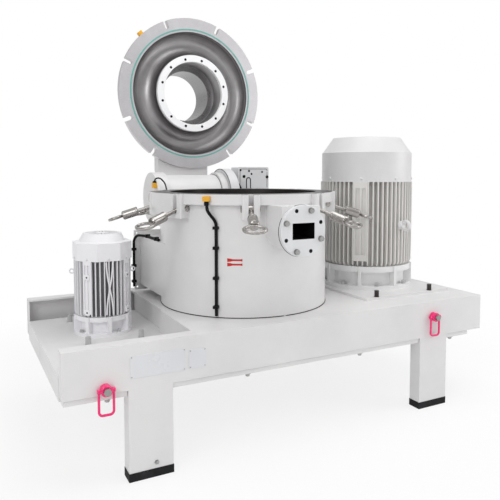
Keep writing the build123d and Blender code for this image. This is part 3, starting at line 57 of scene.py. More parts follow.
# Base frame: rolled channels, bent deck plates and hollow legs, welded up and sprayed in white machine
# enamel. The enamel has a fine orange peel, and is a little greyer and duller in broad patches where it
# was wiped.
class Wire:
    """One output socket in a material. Arithmetic on it adds Math nodes, and node() adds any other node."""

    def __init__(self, tree, socket):
        self.tree = tree
        self.socket = socket

    def feed(self, target, sockets):
        """Sets or links the named sockets of a node."""
        for key, value in sockets.items():
            if isinstance(value, Wire):
                self.tree.links.new(value.socket, target.inputs[key])
            else:
                target.inputs[key].default_value = value

    def node(self, kind, sockets, out=0, stops=(), **settings):
        """Adds a node: its settings first, a ramp's stops next, then the values or wires of its sockets."""
        made = self.tree.nodes.new(kind)
        for key, value in settings.items():
            setattr(made, key, value)
        for i, (position, tone) in enumerate(stops):
            stop = made.color_ramp.elements[i] if i < 2 else made.color_ramp.elements.new(position)
            stop.position = position
            stop.color = tone
        self.feed(made, sockets)
        return Wire(self.tree, made.outputs[out])

    def maths(self, operation, *others):
        """Adds a Math node: this wire is its first value, and the others follow."""
        return self.node("ShaderNodeMath", dict(enumerate((self, *others))), operation=operation)

    def __add__(self, other):
        return self.maths("ADD", other)

    def __sub__(self, other):
        return self.maths("SUBTRACT", other)

    def __rsub__(self, other):
        return self.node("ShaderNodeMath", {0: other, 1: self}, operation="SUBTRACT")

    def __mul__(self, other):
        return self.maths("MULTIPLY", other)

    def __truediv__(self, other):
        return self.maths("DIVIDE", other)

    def __lt__(self, other):
        return self.maths("LESS_THAN", other)

    def __gt__(self, other):
        return self.maths("GREATER_THAN", other)

    def noise(self, size, detail=3.0, roughness=0.5):
        """Soft noise from 0 to 1 whose patches are about the given size in metres."""
        sockets = {"Vector": self, "Scale": 1 / size, "Detail": detail, "Roughness": roughness}
        return self.node("ShaderNodeTexNoise", sockets)

    def along(self, axis):
        """Coordinate of a position along the named axis."""
        return self.node("ShaderNodeSeparateXYZ", {0: self}, out=axis)

    def mix(self, first, second):
        """First colour where this wire is 0, second where it is 1."""
        return self.node("ShaderNodeMix", {0: self, 6: first, 7: second}, out=2, data_type="RGBA")

    def limit(self):
        """The value kept from 0 to 1."""
        return self.maths("MAXIMUM", 0.0).maths("MINIMUM", 1.0)


def colour(red, green, blue):
    """Colour as it looks on screen, 0 to 255, as the shader's linear values."""
    shown = np.array((red, green, blue)) / 255
    linear = np.where(shown < 0.04045, shown / 12.92, ((shown + 0.055) / 1.055) ** 2.4)
    return (*(float(v) for v in linear), 1.0)


def material(name):
    """New material, its shader, and the wire of the position on the machine in metres."""
    made = bpy.data.materials.new(name)
    made.use_nodes = True
    tree = made.node_tree
    place = Wire(tree, tree.nodes.new("ShaderNodeTexCoord").outputs["Object"])
    return made, tree.nodes["Principled BSDF"], place


def enamel(name, tone, dull, peel=0.003, peel_depth=0.00012, rough=0.32, other=None, tones=(), metal=1.0):
    """Sprayed enamel. Broad noise blends the tone towards the dull one, and fine noise is the orange peel.
    Where the other mask is 1, a second finish with the two given tones shows, as metal or as enamel."""
    wipe_size, speck_size, wave_size, gloss_size = 0.35, 0.012, 0.05, 0.02
    made, shader, place = material(name)
    wiped = ((place.noise(wipe_size, 4.0, 0.6) - 0.42) * 3.2).limit()
    specks = ((place.noise(speck_size, 5.0, 0.7) - 0.62) * 6.0).limit()
    face = (wiped * 0.5 + specks * 0.4).mix(tone, dull)
    gloss = wiped * 0.12 + place.noise(gloss_size, 3.0) * 0.1 + (rough - 0.06)
    metallic = 0.0
    if other is not None:
        mask = other(place)
        marks = place.noise(0.006, 6.0, 0.7)
        face = mask.mix(face, marks.mix(*tones))
        gloss = gloss * (1 - mask) + (marks * 0.25 + 0.2) * mask
        metallic = mask * metal
    grain = place.noise(peel, 2.0) + place.noise(wave_size, 2.0) * 2.0
    bump = place.node("ShaderNodeBump", {"Height": grain, "Strength": 0.35, "Distance": peel_depth})
    place.feed(shader, {"Base Color": face, "Roughness": gloss, "Metallic": metallic, "Normal": bump})
    shader.inputs["Coat Weight"].default_value = 0.1
    shader.inputs["Coat Roughness"].default_value = 0.3
    return made


def dress(finish, *nodes):
    """Gives CAD nodes their finish."""
    for node in nodes:
        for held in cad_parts[node].material_slots:
            held.material = finish


white = colour(226, 225, 225)
wiped_white = colour(211, 210, 211)
frame_enamel = enamel("frame_enamel", white, wiped_white, rough=0.42)
dress(frame_enamel, "front_beam", "rear_beam", "cross_beams", "main_deck", "recessed_deck", "legs")
dress(frame_enamel, "bottom_cover", "motor_plate", "hinge_brackets", "lid_arm", "bearing_cartridge")


# Rubber pads under the feet: cut from thick black sheet with a saw, so their sides are matt with a fine
# grain. Dust greys them in patches.
def rubber(name, tone, worn, grain=0.004, rough=0.75):
    """Matt rubber: noise drawn out along X and Y is the cut grain, broad noise is dust."""
    made, shader, place = material(name)
    drawn = place.node("ShaderNodeMapping", {"Vector": place, "Scale": (1.0, 1.0, 6.0)})
    cut = drawn.noise(grain, 4.0)
    dust = ((place.noise(0.05, 4.0) - 0.5) * 3.0).limit()
    bump = place.node("ShaderNodeBump", {"Height": cut, "Strength": 0.5, "Distance": 0.0004})
    face = (dust * 0.6 + cut * 0.3).mix(tone, worn)
    place.feed(shader, {"Base Color": face, "Roughness": cut * 0.15 + rough - 0.08, "Normal": bump})
    shader.inputs["Specular IOR Level"].default_value = 0.2
    return made


pad_rubber = rubber("pad_rubber", colour(24, 24, 26), colour(52, 52, 54))
dress(pad_rubber, "foot_pads")


# Bolts of the bottom cover and the feed flange: hexagon bolts of zinc plated steel, slightly mottled and
# finely scratched by the spanner.
def plated(name, tone, dark, rough, mottle=0.004, scratch=0.0002):
    """Metal surface: small noise mottles colour and gloss, and the finest noise scratches it."""
    made, shader, place = material(name)
    patch = place.noise(mottle, 4.0, 0.6)
    broad = place.noise(mottle * 12, 2.0)
    scratches = place.noise(mottle / 3, 2.0)
    bump = place.node("ShaderNodeBump", {"Height": scratches, "Strength": 0.3, "Distance": scratch})
    face = (patch * 0.7 + broad * 0.3).mix(dark, tone)
    gloss = patch * 0.2 + broad * 0.1 + (rough - 0.15)
    place.feed(shader, {"Base Color": face, "Roughness": gloss, "Metallic": 1.0, "Normal": bump})
    return made


zinc = plated("zinc", colour(206, 206, 204), colour(120, 120, 120), 0.3)
dress(zinc, "cover_bolts", "feed_bolts")


# Bolts of both motors and studs of the low deck: hexagon bolts, sprayed over in grey once they were tight.
# Only the four screws of the large motor's plate were put in later, and are blacked steel.
main_axis, small_axis = (0.800, 0.005), (-0.866, 0.129)
base_circle = 0.36


def distance_from(place, axis):
    """Distance in metres from an upright axis that stands at the given x and y."""
    x = place.along("X") - axis[0]
    y = place.along("Y") - axis[1]
    return (x * x + y * y).maths("SQRT")


def plate_screws(place):
    """1 on the screws outside the large motor's flange."""
    return (distance_from(place, main_axis) > base_circle) * (place.along("X") > 0)


bolt_grey = (colour(188, 188, 188), colour(160, 160, 160))
screw_tones = (colour(34, 32, 31), colour(84, 80, 78))
bolt_paint = enamel("bolt_paint", *bolt_grey, other=plate_screws, tones=screw_tones)
dress(bolt_paint, "motor_bolts")


# Lifting points: forged swivel heads and bows, powder coated in signal pink so that they stand out.
# The head of the plated bolt in the middle of each was masked.
bolt_face_y = 0.6096


def swivel_head(place):
    """1 on the bolt head that stands out in front of the swivel base."""
    return place.along("Y").maths("ABSOLUTE") > bolt_face_y


coating = (colour(240, 40, 118), colour(218, 26, 96))
bolt_tones = (colour(120, 120, 118), colour(186, 186, 182))
pink = enamel("pink_coating", *coating, peel=0.0015, rough=0.28, other=swivel_head, tones=bolt_tones)
for corner in ("front_left", "front_right", "rear_left", "rear_right"):
    dress(pink, f"lifting_swivel_{corner}", f"lifting_ring_{corner}")


# Mill housing: welded and sprayed white, with a machined top face. That face, the mouth and everything
# inside the chamber wall are bare steel in a dark tone, which inside the chamber is painted shade of the
# closed chamber. The feed flange and the hinge drive were sprayed apart from it, a shade cooler and with a
# finer peel.
housing_x = -0.09
chamber_wall, chamber_floor, top_face = 0.4465, 0.659, 1.2235


def bare_and_shaded_housing(place):
    """1 on the machined top face, and inside the chamber's radius, whose dark tone is painted shade."""
    inside = (distance_from(place, (housing_x, 0)) < chamber_wall) * (place.along("Z") > chamber_floor)
    return inside.maths("MAXIMUM", place.along("Z") > top_face)


# Dark tones of the bare steel: its own on the top face, painted shade inside the chamber.
dark_steel_and_shade_tones = (colour(44, 42, 41), colour(92, 89, 87))
housing_enamel = enamel("housing_enamel", white, wiped_white, other=bare_and_shaded_housing, tones=dark_steel_and_shade_tones)
dress(housing_enamel, "mill_housing", "clamp_flange", "air_duct", "feed_boss")
flange_enamel = enamel("flange_enamel", colour(224, 225, 227), wiped_white, peel=0.002)
dress(flange_enamel, "feed_flange", "hinge_drive")

# Swing bolts and their pins, and the classifier wheel with the baffle ring round it: turned or folded from
# stainless steel and polished.
polished = plated("polished_stainless", colour(196, 193, 190), colour(120, 116, 113), 0.24, mottle=0.008)
dress(polished, "pivot_pins", "baffle_ring", "classifier_wheel", *(f"swing_bolt_{i}" for i in range(1, 9)))

# Rotor, shafts with their pulleys, and wear liner: machined steel, duller than the bolts, with the marks of
# the cutting tool left on. Its tone is darker than the steel's own, as painted shade of the closed chamber
# that the rotor and liner sit in.
# Darker tone: partly painted shade of the grinding chamber.
machined = plated("machined_steel_and_shade", colour(146, 147, 150), colour(96, 97, 100), 0.4, mottle=0.006)
dress(machined, "wear_liner", "grinding_rotor", "rotor_shaft", "classifier_shaft")
dress(machined, "main_motor_shaft", "classifier_motor_shaft")

# Belts: black rubber in a woven jacket, whose threads show as a fine grain.
# They run taut under the deck, between the pulleys of each motor and its shaft.
belt_rubber = rubber("belt_rubber", colour(20, 20, 21), colour(44, 43, 42), grain=0.002)
dress(belt_rubber, "drive_belts")

# Motors: fan-cooled motors standing on their flanges. The finned frame of the large one is a grey casting
# with a white end shield under it, painted lighter than the frame to lift the shade under the fins; the
# small one is white all over, with painted shade at the bottom of the gaps between its fins.
shield_top = 0.7635


def motor_shield(place):
    """1 on the end shield and flange under the fins: white, painted lighter than the base frame against the
    shade they sit in.
    """
    return place.along("Z") < shield_top


grey_fins = (colour(222, 220, 217), colour(204, 202, 199))
# Shield tones painted lighter than the frame's white, against the shade under the fins.
shield_tones_lifted_against_shade = (colour(226, 226, 226), colour(240, 240, 240))
cast = dict(peel=0.005, peel_depth=0.0003, metal=0.0)
main_motor_enamel = enamel("main_motor_enamel", *grey_fins, other=motor_shield, tones=shield_tones_lifted_against_shade, **cast)
dress(main_motor_enamel, "main_motor")
cowl_enamel = enamel("cowl_enamel", colour(222, 221, 222), colour(206, 205, 206), peel=0.002)
dress(cowl_enamel, "main_motor_cowl")
gap_radius, gap_bottom, gap_top = 0.1335, 0.589, 0.875


def fin_gap_shade(place):
    """1 at the bottom of the gaps between the small motor's fins, where their shade is painted dark."""
    height = place.along("Z")
    return (distance_from(place, small_axis) < gap_radius) * (height > gap_bottom) * (height < gap_top)


small_tones = (colour(241, 240, 243), colour(226, 225, 229))
# Painted shade at the bottom of the fin gaps.
painted_gap_shade_tones = (colour(96, 96, 100), colour(132, 132, 136))
small_motor_enamel = enamel("small_motor_enamel", *small_tones, other=fin_gap_shade, tones=painted_gap_shade_tones, **cast)
dress(small_motor_enamel, "classifier_motor", "classifier_motor_cowl", "terminal_boxes")

# Lid: casting turned on its inner face, with a smooth round groove and a flat rim sanded by hand.
# The white ring in its middle is plastic, the seal in its rim soft turquoise rubber, and the outlet pipe
# behind it rolled sheet steel.
lid_centre = (housing_x, 0.762, 1.864)
groove_edge, lid_back_y = 0.4135, 0.88
marks_per_metre = 260.0


def lid_metal():
    """Radius from the lid's axis chooses the finish; noise drawn out round that axis is the tool's marks."""
    made, shader, place = material("lid_metal")
    x = place.along("X") - lid_centre[0]
    z = place.along("Z") - lid_centre[2]
    radius = (x * x + z * z).maths("SQRT")
    angle = x.maths("ARCTAN2", z)
    across, deep = radius * marks_per_metre, place.along("Y") * marks_per_metre
    rings = place.node("ShaderNodeCombineXYZ", {0: across, 1: angle * 1.5, 2: deep})
    marks = rings.noise(1.0, 3.0, 0.6)
    sanded = place.noise(0.0035, 6.0, 0.75)
    rim = (radius > groove_edge).maths("MAXIMUM", place.along("Y") > lid_back_y)
    cloud = place.noise(0.09, 3.0)
    groove = (marks * 0.5 + cloud * 0.4).mix(colour(118, 116, 117), colour(190, 188, 189))
    flat = (sanded * 0.8 + cloud * 0.3).mix(colour(164, 162, 165), colour(232, 230, 232))
    gloss = (marks * 0.08 + 0.32) * (1 - rim) + (sanded * 0.2 + 0.36) * rim
    height = marks * (1 - rim) + sanded * rim
    bump = place.node("ShaderNodeBump", {"Height": height, "Strength": 0.12, "Distance": 0.00008})
    face = rim.mix(groove, flat)
    place.feed(shader, {"Base Color": face, "Roughness": gloss, "Metallic": 1.0, "Normal": bump})
    return made


dress(lid_metal(), "lid")
outlet_steel = plated("outlet_steel", colour(162, 161, 162), colour(112, 110, 111), 0.3, mottle=0.01)
dress(outlet_steel, "outlet_pipe")
hub_plastic = enamel("hub_plastic", colour(250, 250, 251), colour(240, 241, 243), peel=0.002, rough=0.4)
dress(hub_plastic, "hub_ring")
seal_rubber = rubber("seal_rubber", colour(112, 172, 164), colour(146, 192, 186), grain=0.002, rough=0.5)
dress(seal_rubber, "lid_seal")

# Sensors and their cables: moulded yellow bodies on round black leads, which black plastic saddles hold
# down on the housing.
sensor_plastic = enamel("sensor_plastic", colour(238, 176, 32), colour(214, 150, 20), peel=0.001, rough=0.45)
dress(sensor_plastic, "sensors")
# This black is also the painted shade in holes, the gearbox slot, the feed channel and the gap at the hinge
# drive.
black_rubber_and_shade = rubber("black_rubber_and_shade", colour(6, 6, 9), colour(16, 16, 19), grain=0.003, rough=0.62)
dress(black_rubber_and_shade, "sensor_cables", "cable_clips")

# Name plates of the front beam: two blank sheet plates, each held by four small round rivets.
# Their corners are cut round, and their edges are slightly broken.
def rounded(width, height, corner, steps=6):
    """Outline of a rounded rectangle: four quarter circles of the corner radius, joined by its sides."""
    turn = np.linspace(0, np.pi / 2, steps)
    corners = ((1, 1), (-1, 1), (-1, -1), (1, -1))
    quarters = [(turn + i * np.pi / 2, x, y) for i, (x, y) in enumerate(corners)]
    across = [x * (width / 2 - corner) + corner * np.cos(a) for a, x, y in quarters]
    up = [y * (height / 2 - corner) + corner * np.sin(a) for a, x, y in quarters]
    return np.stack((np.concatenate(across), np.concatenate(up)), -1)


def slab(width, height, corner, thick, edge):
    """Closed flat slab: the outline at the bottom and near the top, and drawn in by the edge on top."""
    full = rounded(width, height, corner)
    inset = rounded(width - 2 * edge, height - 2 * edge, max(corner - edge, edge / 2))
    levels = ((full * 0, 0), (full, 0), (full, thick - edge), (inset, thick), (full * 0, thick))
    return np.stack([np.column_stack((ring, np.full(len(ring), level))) for ring, level in levels])


def turned(profile, columns=24):
    """Closed turned shape: each (radius, height) of the profile carried round a full circle."""
    angle = np.arange(columns) * 2 * np.pi / columns
    radius, height = np.array(profile, float).T
    flat = radius[:, None, None] * np.stack((np.cos(angle), np.sin(angle)), -1)
    return np.concatenate((flat, np.broadcast_to(height[:, None, None], (*flat.shape[:2], 1))), -1)


def put(grid, origin, across, up):
    """Carries a shape to a place: its own X along across, its Y along up, its height along across x up."""
    axes = np.array((across, up, np.cross(across, up)), float)
    return np.array(origin) + grid @ axes


def shells(name, grids, finish, body, crease=0.6):
    """One piece from closed grids of points: rows run along the shape, and columns meet round it."""
    points, faces, start = [], [], 0
    for grid in grids:
        rows, columns = grid.shape[:2]
        index = start + np.arange(rows * columns).reshape(rows, columns)
        first, second = index[:-1], index[1:]
        around = np.stack((first, np.roll(first, -1, 1), np.roll(second, -1, 1), second), -1)
        faces.append(around.reshape(-1, 4))
        points.append(grid.reshape(-1, 3))
        start += rows * columns
    mesh = bpy.data.meshes.new(name)
    mesh.from_pydata(np.concatenate(points), [], np.concatenate(faces))
    work = bmesh.new()
    work.from_mesh(mesh)
    bmesh.ops.remove_doubles(work, verts=work.verts, dist=1e-6)
    bmesh.ops.recalc_face_normals(work, faces=work.faces)
    work.to_mesh(mesh)
    work.free()
    mesh.shade_smooth()
    mesh.set_sharp_from_angle(angle=crease)
    mesh.materials.append(finish)
    made = bpy.data.objects.new(name, mesh)
    bpy.context.scene.collection.objects.link(made)
    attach(made, body)


along_x, along_y, along_z = np.eye(3)
front_face_y = -0.5752
plate_thick, rivet_inset = 0.0015, 0.007
plate_enamel = enamel("plate_enamel", colour(222, 223, 226), colour(206, 208, 212), peel=0.002, rough=0.25)
plate_places = (((-0.793, 0.503), (0.252, 0.100)), ((-0.610, 0.499), (0.084, 0.088)))
plates = [
    put(slab(width, height, 0.004, plate_thick, 0.0005), (x, front_face_y, z), along_x, along_z)
    for (x, z), (width, height) in plate_places
]
shells("blank_plates", plates, plate_enamel, "frame")
rivet = turned(((0, 0), (0.0028, 0), (0.0026, 0.0009), (0.0016, 0.0017), (0, 0.002)), 12)
rivet_y = front_face_y - plate_thick + 0.0001
rivet_places = [
    (x + side * (width / 2 - rivet_inset), rivet_y, z + end * (height / 2 - rivet_inset))
    for (x, z), (width, height) in plate_places
    for side in (-1, 1)
    for end in (-1, 1)
]
rivets = [put(rivet, place, along_x, along_z) for place in rivet_places]
shells("plate_rivets", rivets, zinc, "frame")

# Earthing bolt: a zinc plated hexagon bolt with its washer, low down on the front of the left front leg.
# The site's earthing strap is fastened under its head.
hexagon = (
    (0, 0), (0.011, 0), (0.011, 0.002), (0.0075, 0.0022), (0.0075, 0.008), (0.006, 0.0095), (0, 0.0095)
)
earth_place = (-0.805, front_face_y, 0.064)
earth_bolt = put(turned(hexagon, 6), earth_place, along_x, along_z)
shells("earth_bolt", [earth_bolt], zinc, "frame")

# Edges of the bottom cover: a folded strip drawn up against the lower flange of each channel and cut out
# at the legs. Four hexagon bolts with round washers hold it on each side.
strip_spans = ((-1.194, -0.929), (-0.725, 0.725), (0.929, 1.104))
strip_y, strip_bottom, strip_width, strip_height = 0.5355, 0.3800, 0.064, 0.0245
strips = []
for low, high in strip_spans:
    strip = slab(high - low, strip_width, 0.003, strip_height, 0.003)
    for side in (-1, 1):
        seat = ((low + high) / 2, side * strip_y, strip_bottom)
        strips.append(put(strip, seat, along_x, along_y))
shells("cover_edges", strips, frame_enamel, "frame")
hanging_bolt = (
    (0, 0), (0.017, 0), (0.017, 0.003), (0.0115, 0.0032), (0.0115, 0.013), (0.009, 0.016), (0, 0.016)
)
round_washer = ((0, 0), (0.0175, 0), (0.0175, 0.0025), (0, 0.0025))
strip_bolt_x = (-1.012, -0.345, 0.322, 0.978)
strip_bolt_y, strip_bolt_seat = 0.551, 0.3802
strip_bolts = [
    put(turned(profile, columns), (x, side * strip_bolt_y, strip_bolt_seat), along_x, -along_y)
    for profile, columns in ((hanging_bolt, 6), (round_washer, 24))
    for x in strip_bolt_x
    for side in (-1, 1)
]
shells("cover_edge_bolts", strip_bolts, zinc, "frame")


# Joint under the housing: a dark rubber cord squeezed between the skirt and the deck, so that it stands
# out a little all the way round.
def ring_path(centre, radius, z, steps=160, start=0.0, sweep=360.0):
    """Points on a level arc round the centre."""
    angle = np.radians(np.linspace(start, start + sweep, steps))
    x = centre[0] + radius * np.sin(angle)
    y = centre[1] - radius * np.cos(angle)
    return np.stack((x, y, np.full(steps, z)), -1)


def bead(path, radius, ripple=0.0, spacing=0.004, sides=8):
    """Round bead along a path: circles across its direction, whose radius ripples like the scales of a weld
    and falls to nothing at both ends."""
    step = np.gradient(path, axis=0)
    step /= np.linalg.norm(step, axis=1, keepdims=True)
    lift = np.where(np.abs(step[:, 2:]) > 0.9, along_x, along_z)
    side = np.cross(step, lift)
    side /= np.linalg.norm(side, axis=1, keepdims=True)
    top = np.cross(side, step)
    run = np.concatenate(((0,), np.cumsum(np.linalg.norm(np.diff(path, axis=0), axis=1))))
    size = radius * (1 + ripple * np.sin(2 * np.pi * run / spacing))
    size[0] = size[-1] = 0
    turn = np.arange(sides) * 2 * np.pi / sides
    circle = np.cos(turn)[:, None] * side[:, None] + np.sin(turn)[:, None] * top[:, None]
    return path[:, None] + size[:, None, None] * circle


# This black also makes the painted shadow rings round the feed flange's bolts.
joint_and_shadow_black = rubber("joint_and_shadow_black", colour(26, 25, 25), colour(48, 46, 44))
skirt_radius, deck_z, joint_radius = 0.4692, 0.6065, 0.0025
skirt_ring = ring_path((housing_x, 0), skirt_radius, deck_z, 240)
shells("housing_joint", [bead(skirt_ring, joint_radius)], joint_and_shadow_black, "frame")


# Weld seams: rippled beads where the duct and the feed boss meet the housing, and the legs the channels.
# They are sprayed over with the frame.
def line_path(first, second, spacing=0.0015):
    """Straight run of points between two places."""
    count = max(int(np.linalg.norm(np.subtract(second, first)) / spacing), 4)
    share = np.linspace(0, 1, count)[:, None]
    return np.array(first) * (1 - share) + np.array(second) * share


shell = 0.469
duct_side, duct_bottom, duct_top_z, duct_seam_z = 0.239, 0.65, 0.944, 0.9455
boss_radius, boss_centre_z, boss_top_z = 0.108, 1.052, 1.171
duct_edge_angle = 180 - np.degrees(np.arcsin(duct_side / shell))
duct_top = ring_path((housing_x, 0), shell, duct_seam_z, start=-90.0, sweep=90 - duct_edge_angle)
duct_corner = (housing_x - duct_side, float(np.sqrt(shell**2 - duct_side**2)))
duct_edge = line_path((*duct_corner, duct_bottom), (*duct_corner, duct_top_z))
boss_turn = np.radians(np.linspace(0, 180, 120))
boss_down = np.linspace(boss_top_z, boss_centre_z, 60)
boss_round = boss_centre_z - boss_radius * np.sin(boss_turn)
boss_side = np.full(60, boss_radius)
boss_x = np.concatenate((boss_side, boss_radius * np.cos(boss_turn), -boss_side))
boss_z = np.concatenate((boss_down, boss_round, boss_down[::-1]))
boss_path = np.stack((housing_x + boss_x, -np.sqrt(shell**2 - boss_x**2), boss_z), -1)
wall_seam, leg_seam = (0.004, 0.12), (0.003, 0.15)
seams = [bead(path, *wall_seam) for path in (duct_top, duct_edge, boss_path)]
leg_x, leg_half, leg_top = 0.827, 0.1, 0.403
leg_inner_y, leg_outer_y = 0.5, 0.57
for x in (-leg_x, leg_x):
    for side in (-1, 1):
        left, right, inner = x - leg_half, x + leg_half, side * leg_inner_y
        seams.append(bead(line_path((left, inner, leg_top), (right, inner, leg_top)), *leg_seam))
        for end in (left, right):
            outwards = line_path((end, inner, leg_top), (end, side * leg_outer_y, leg_top))
            seams.append(bead(outwards, *leg_seam))
shells("weld_seams", seams, frame_enamel, "frame")


# Direction arrows on the housing: two strips of red film with a broad end, one above the other.
# They are stuck on the wall and bend with it.
def on_wall(grid, angle, z, radius=shell):
    """Wraps a flat shape on the housing wall: its X runs round the wall from the given angle, its Y up."""
    turn = np.radians(angle) + grid[..., 0] / radius
    reach = radius + grid[..., 2]
    return np.stack((housing_x + reach * np.sin(turn), -reach * np.cos(turn), z + grid[..., 1]), -1)


def sticker(outline, thick):
    """Thin closed sheet with the given outline; its middle is the outline's own origin."""
    outline = np.array(outline, float)
    levels = ((0, 0), (0.5, 0), (1, 0), (1, thick), (0.5, thick), (0, thick))
    rings = [np.column_stack((outline * share, np.full(len(outline), z))) for share, z in levels]
    return np.stack(rings)


def finely(outline, spacing=0.004):
    """The same closed outline with points at most the spacing apart, so that it can bend."""
    corners = np.array(outline, float)
    runs = [line_path(a, b, spacing)[:-1] for a, b in zip(corners, np.roll(corners, -1, 0))]
    return np.concatenate(runs)


arrow_half = ((-0.038, 0.0092), (-0.020, 0.0072), (-0.012, 0.0048), (0.033, 0.0042), (0.038, 0.0062))
arrow = finely((*arrow_half, *((x, -y) for x, y in reversed(arrow_half))))
red_film = enamel("red_film", colour(196, 8, 12), colour(172, 4, 8), peel=0.002, rough=0.5)
film_thick, film_gap = 0.0004, 0.0002
film = sticker(arrow, film_thick)
arrow_angle, arrow_heights = -31.8, (0.8975, 0.8755)
arrows = [on_wall(film, arrow_angle, z, shell + film_gap) for z in arrow_heights]
shells("direction_arrows", arrows, red_film, "frame")

# Threads of the swing bolts: a fine thread cut on each rod between its eye and its barrel nut,
# and a turned collar near each end of the nut.
pivot_circle, pivot_z, droop = 0.484, 1.150, np.radians(18)
clamp_angles = (-145.0, -112.5, -67.5, -22.5, 22.5, 67.5, 112.5, 145.0)
rod_radius, nut_radius = 0.0098, 0.0249
thread_start, thread_end, thread_depth = 0.026, 0.117, 0.0007
collar_starts, collar_length, collar_rise = (0.122, 0.194), 0.006, 0.0006


def thread(start, end, radius, depth, pitch=0.003, columns=16):
    """Screw thread along X: the radius is a triangle wave of the run plus one pitch for each turn."""
    run = np.arange(start, end, pitch / 4)
    turn = np.arange(columns) / columns
    wave = (run[:, None] / pitch + turn) % 1
    size = radius + depth * (1 - np.abs(2 * wave - 1))
    size[0] = size[-1] = 0
    angle = turn * 2 * np.pi
    along = np.broadcast_to(run[:, None], size.shape)
    return np.stack((along, size * np.cos(angle), size * np.sin(angle)), -1)


def at_clamp(grid, angle):
    """Carries a shape drawn along X to the swing bolt at one angle round the housing."""
    turn = np.radians(angle)
    outwards = (np.sin(turn) * np.cos(droop), -np.cos(turn) * np.cos(droop), -np.sin(droop))
    level = (np.cos(turn), np.sin(turn), 0)
    pivot = (housing_x + pivot_circle * np.sin(turn), -pivot_circle * np.cos(turn), pivot_z)
    axes = np.array((outwards, level, np.cross(outwards, level)))
    return np.array(pivot) + grid @ axes


def collar(start, length, radius, rise, columns=32):
    """Raised ring round X: the radius rises, stays and falls along its length."""
    run = np.array((0, 0, 0.15, 0.85, 1, 1)) * length + start
    size = radius + rise * np.array((0, 0, 1, 1, 0, 0))
    size[0] = size[-1] = 0
    angle = np.arange(columns) * 2 * np.pi / columns
    circle = size[:, None] * np.cos(angle), size[:, None] * np.sin(angle)
    return np.stack((np.broadcast_to(run[:, None], circle[0].shape), *circle), -1)


for number, angle in enumerate(clamp_angles, 1):
    parts = [thread(thread_start, thread_end, rod_radius, thread_depth)]
    parts += [collar(start, collar_length, nut_radius, collar_rise) for start in collar_starts]
    placed = [at_clamp(part, angle) for part in parts]
    shells(f"swing_thread_{number}", placed, polished, f"swing_bolt_{number}")

# Sensor of the lid: a third yellow body on the lid's rim with a black plug on its end, which tells when
# the lid is closed.
rim_radius, rim_turn, rim_middle = 0.5052, np.radians(-43.9), 0.018
lid_sensor = slab(0.030, 0.034, 0.003, 0.022, 0.002)
rim_out = np.array((np.sin(rim_turn), 0, np.cos(rim_turn)))
rim_along = np.cross(along_y, rim_out)
rim_seat = np.array(lid_centre) + rim_out * rim_radius + along_y * rim_middle
shells("lid_sensor", [put(lid_sensor, rim_seat, rim_along, along_y)], sensor_plastic, "lid")
plug_profile = (
    (0, 0), (0.006, 0), (0.0075, 0.002), (0.0075, 0.010), (0.006, 0.013), (0.0045, 0.020), (0, 0.020)
)
plug_seat = rim_seat + rim_out * 0.011 + along_y * 0.017
sensor_plug = put(turned(plug_profile, 16), plug_seat, rim_out, rim_along)
shells("lid_sensor_plug", [sensor_plug], black_rubber_and_shade, "lid")

# Ring round the classifier opening: twelve black socket screws hold it to the lid, sunk almost flush into
# its face.
screw_circle, ring_face_y = 0.229, 0.7371
screw_profile = (
    (0, 0), (0.0085, 0), (0.0085, 0.0006), (0.0075, 0.0010), (0.0038, 0.0010), (0.0034, 0.0004), (0, 0.0004)
)
sunk_screw = turned(screw_profile, 20)
ring_screws = []
for turn in np.radians(15 + 30 * np.arange(12)):
    x = lid_centre[0] + screw_circle * np.cos(turn)
    z = lid_centre[2] + screw_circle * np.sin(turn)
    ring_screws.append(put(sunk_screw, (x, ring_face_y, z), along_x, along_z))
shells("ring_screws", ring_screws, black_rubber_and_shade, "lid")

# Feed flange: thin black discs in its four open holes are painted shade of their depth, and black rings
# round its four bolts are painted shadow at their heads. A thin rubber joint behind it stands out a little.
port_centre = np.array((housing_x, -0.6400, 1.052))
port_circle, joint_back = 0.105, 0.0252
hole_shade_disc = turned(((0, 0), (0.0098, 0), (0.0096, 0.0006), (0.0086, 0.0010), (0, 0.0010)), 24)
bolt_shadow_ring = turned(((0.0105, 0), (0.0142, 0), (0.0142, 0.0016), (0.0105, 0.0016), (0.0105, 0)), 28)
flange_joint = turned(((0.1100, 0), (0.1262, 0), (0.1262, 0.0030), (0.1100, 0.0030), (0.1100, 0)), 96)
hole_shade_discs, bolt_shadow_rings = [], []
for number in range(4):
    for turn, shape, kept in ((67.5, bolt_shadow_ring, bolt_shadow_rings), (22.5, hole_shade_disc, hole_shade_discs)):
        turn = np.radians(turn - 90 * number)
        place = port_centre + port_circle * (np.cos(turn) * along_x + np.sin(turn) * along_z)
        kept.append(put(shape, place, along_x, along_z))
# Black discs: painted shade in the open holes; black rings: painted shadow round the bolt heads.
shells("port_hole_shade_discs", hole_shade_discs, black_rubber_and_shade, "frame")
shells("port_bolt_shadow_rings", bolt_shadow_rings, joint_and_shadow_black, "frame")
behind_flange = put(flange_joint, port_centre + along_y * joint_back, along_x, along_z)
shells("port_joint", [behind_flange], joint_and_shadow_black, "frame")


# Lifting eye of the large motor: a round cast foot on the front of its frame, with a thick ring on it.
# Both are sprayed with the cowl.
def loop(radius, bar, columns=16, rows=40):
    """Closed ring lying flat: a circle of the bar's radius carried round a circle, with one more row that
    closes its seam."""
    around = np.linspace(0, 2 * np.pi, rows)[:, None]
    turn = np.arange(columns) * 2 * np.pi / columns
    reach = radius + bar * np.cos(turn)
    height = np.broadcast_to(bar * np.sin(turn), (rows, columns))
    return np.stack((reach * np.cos(around), reach * np.sin(around), height), -1)


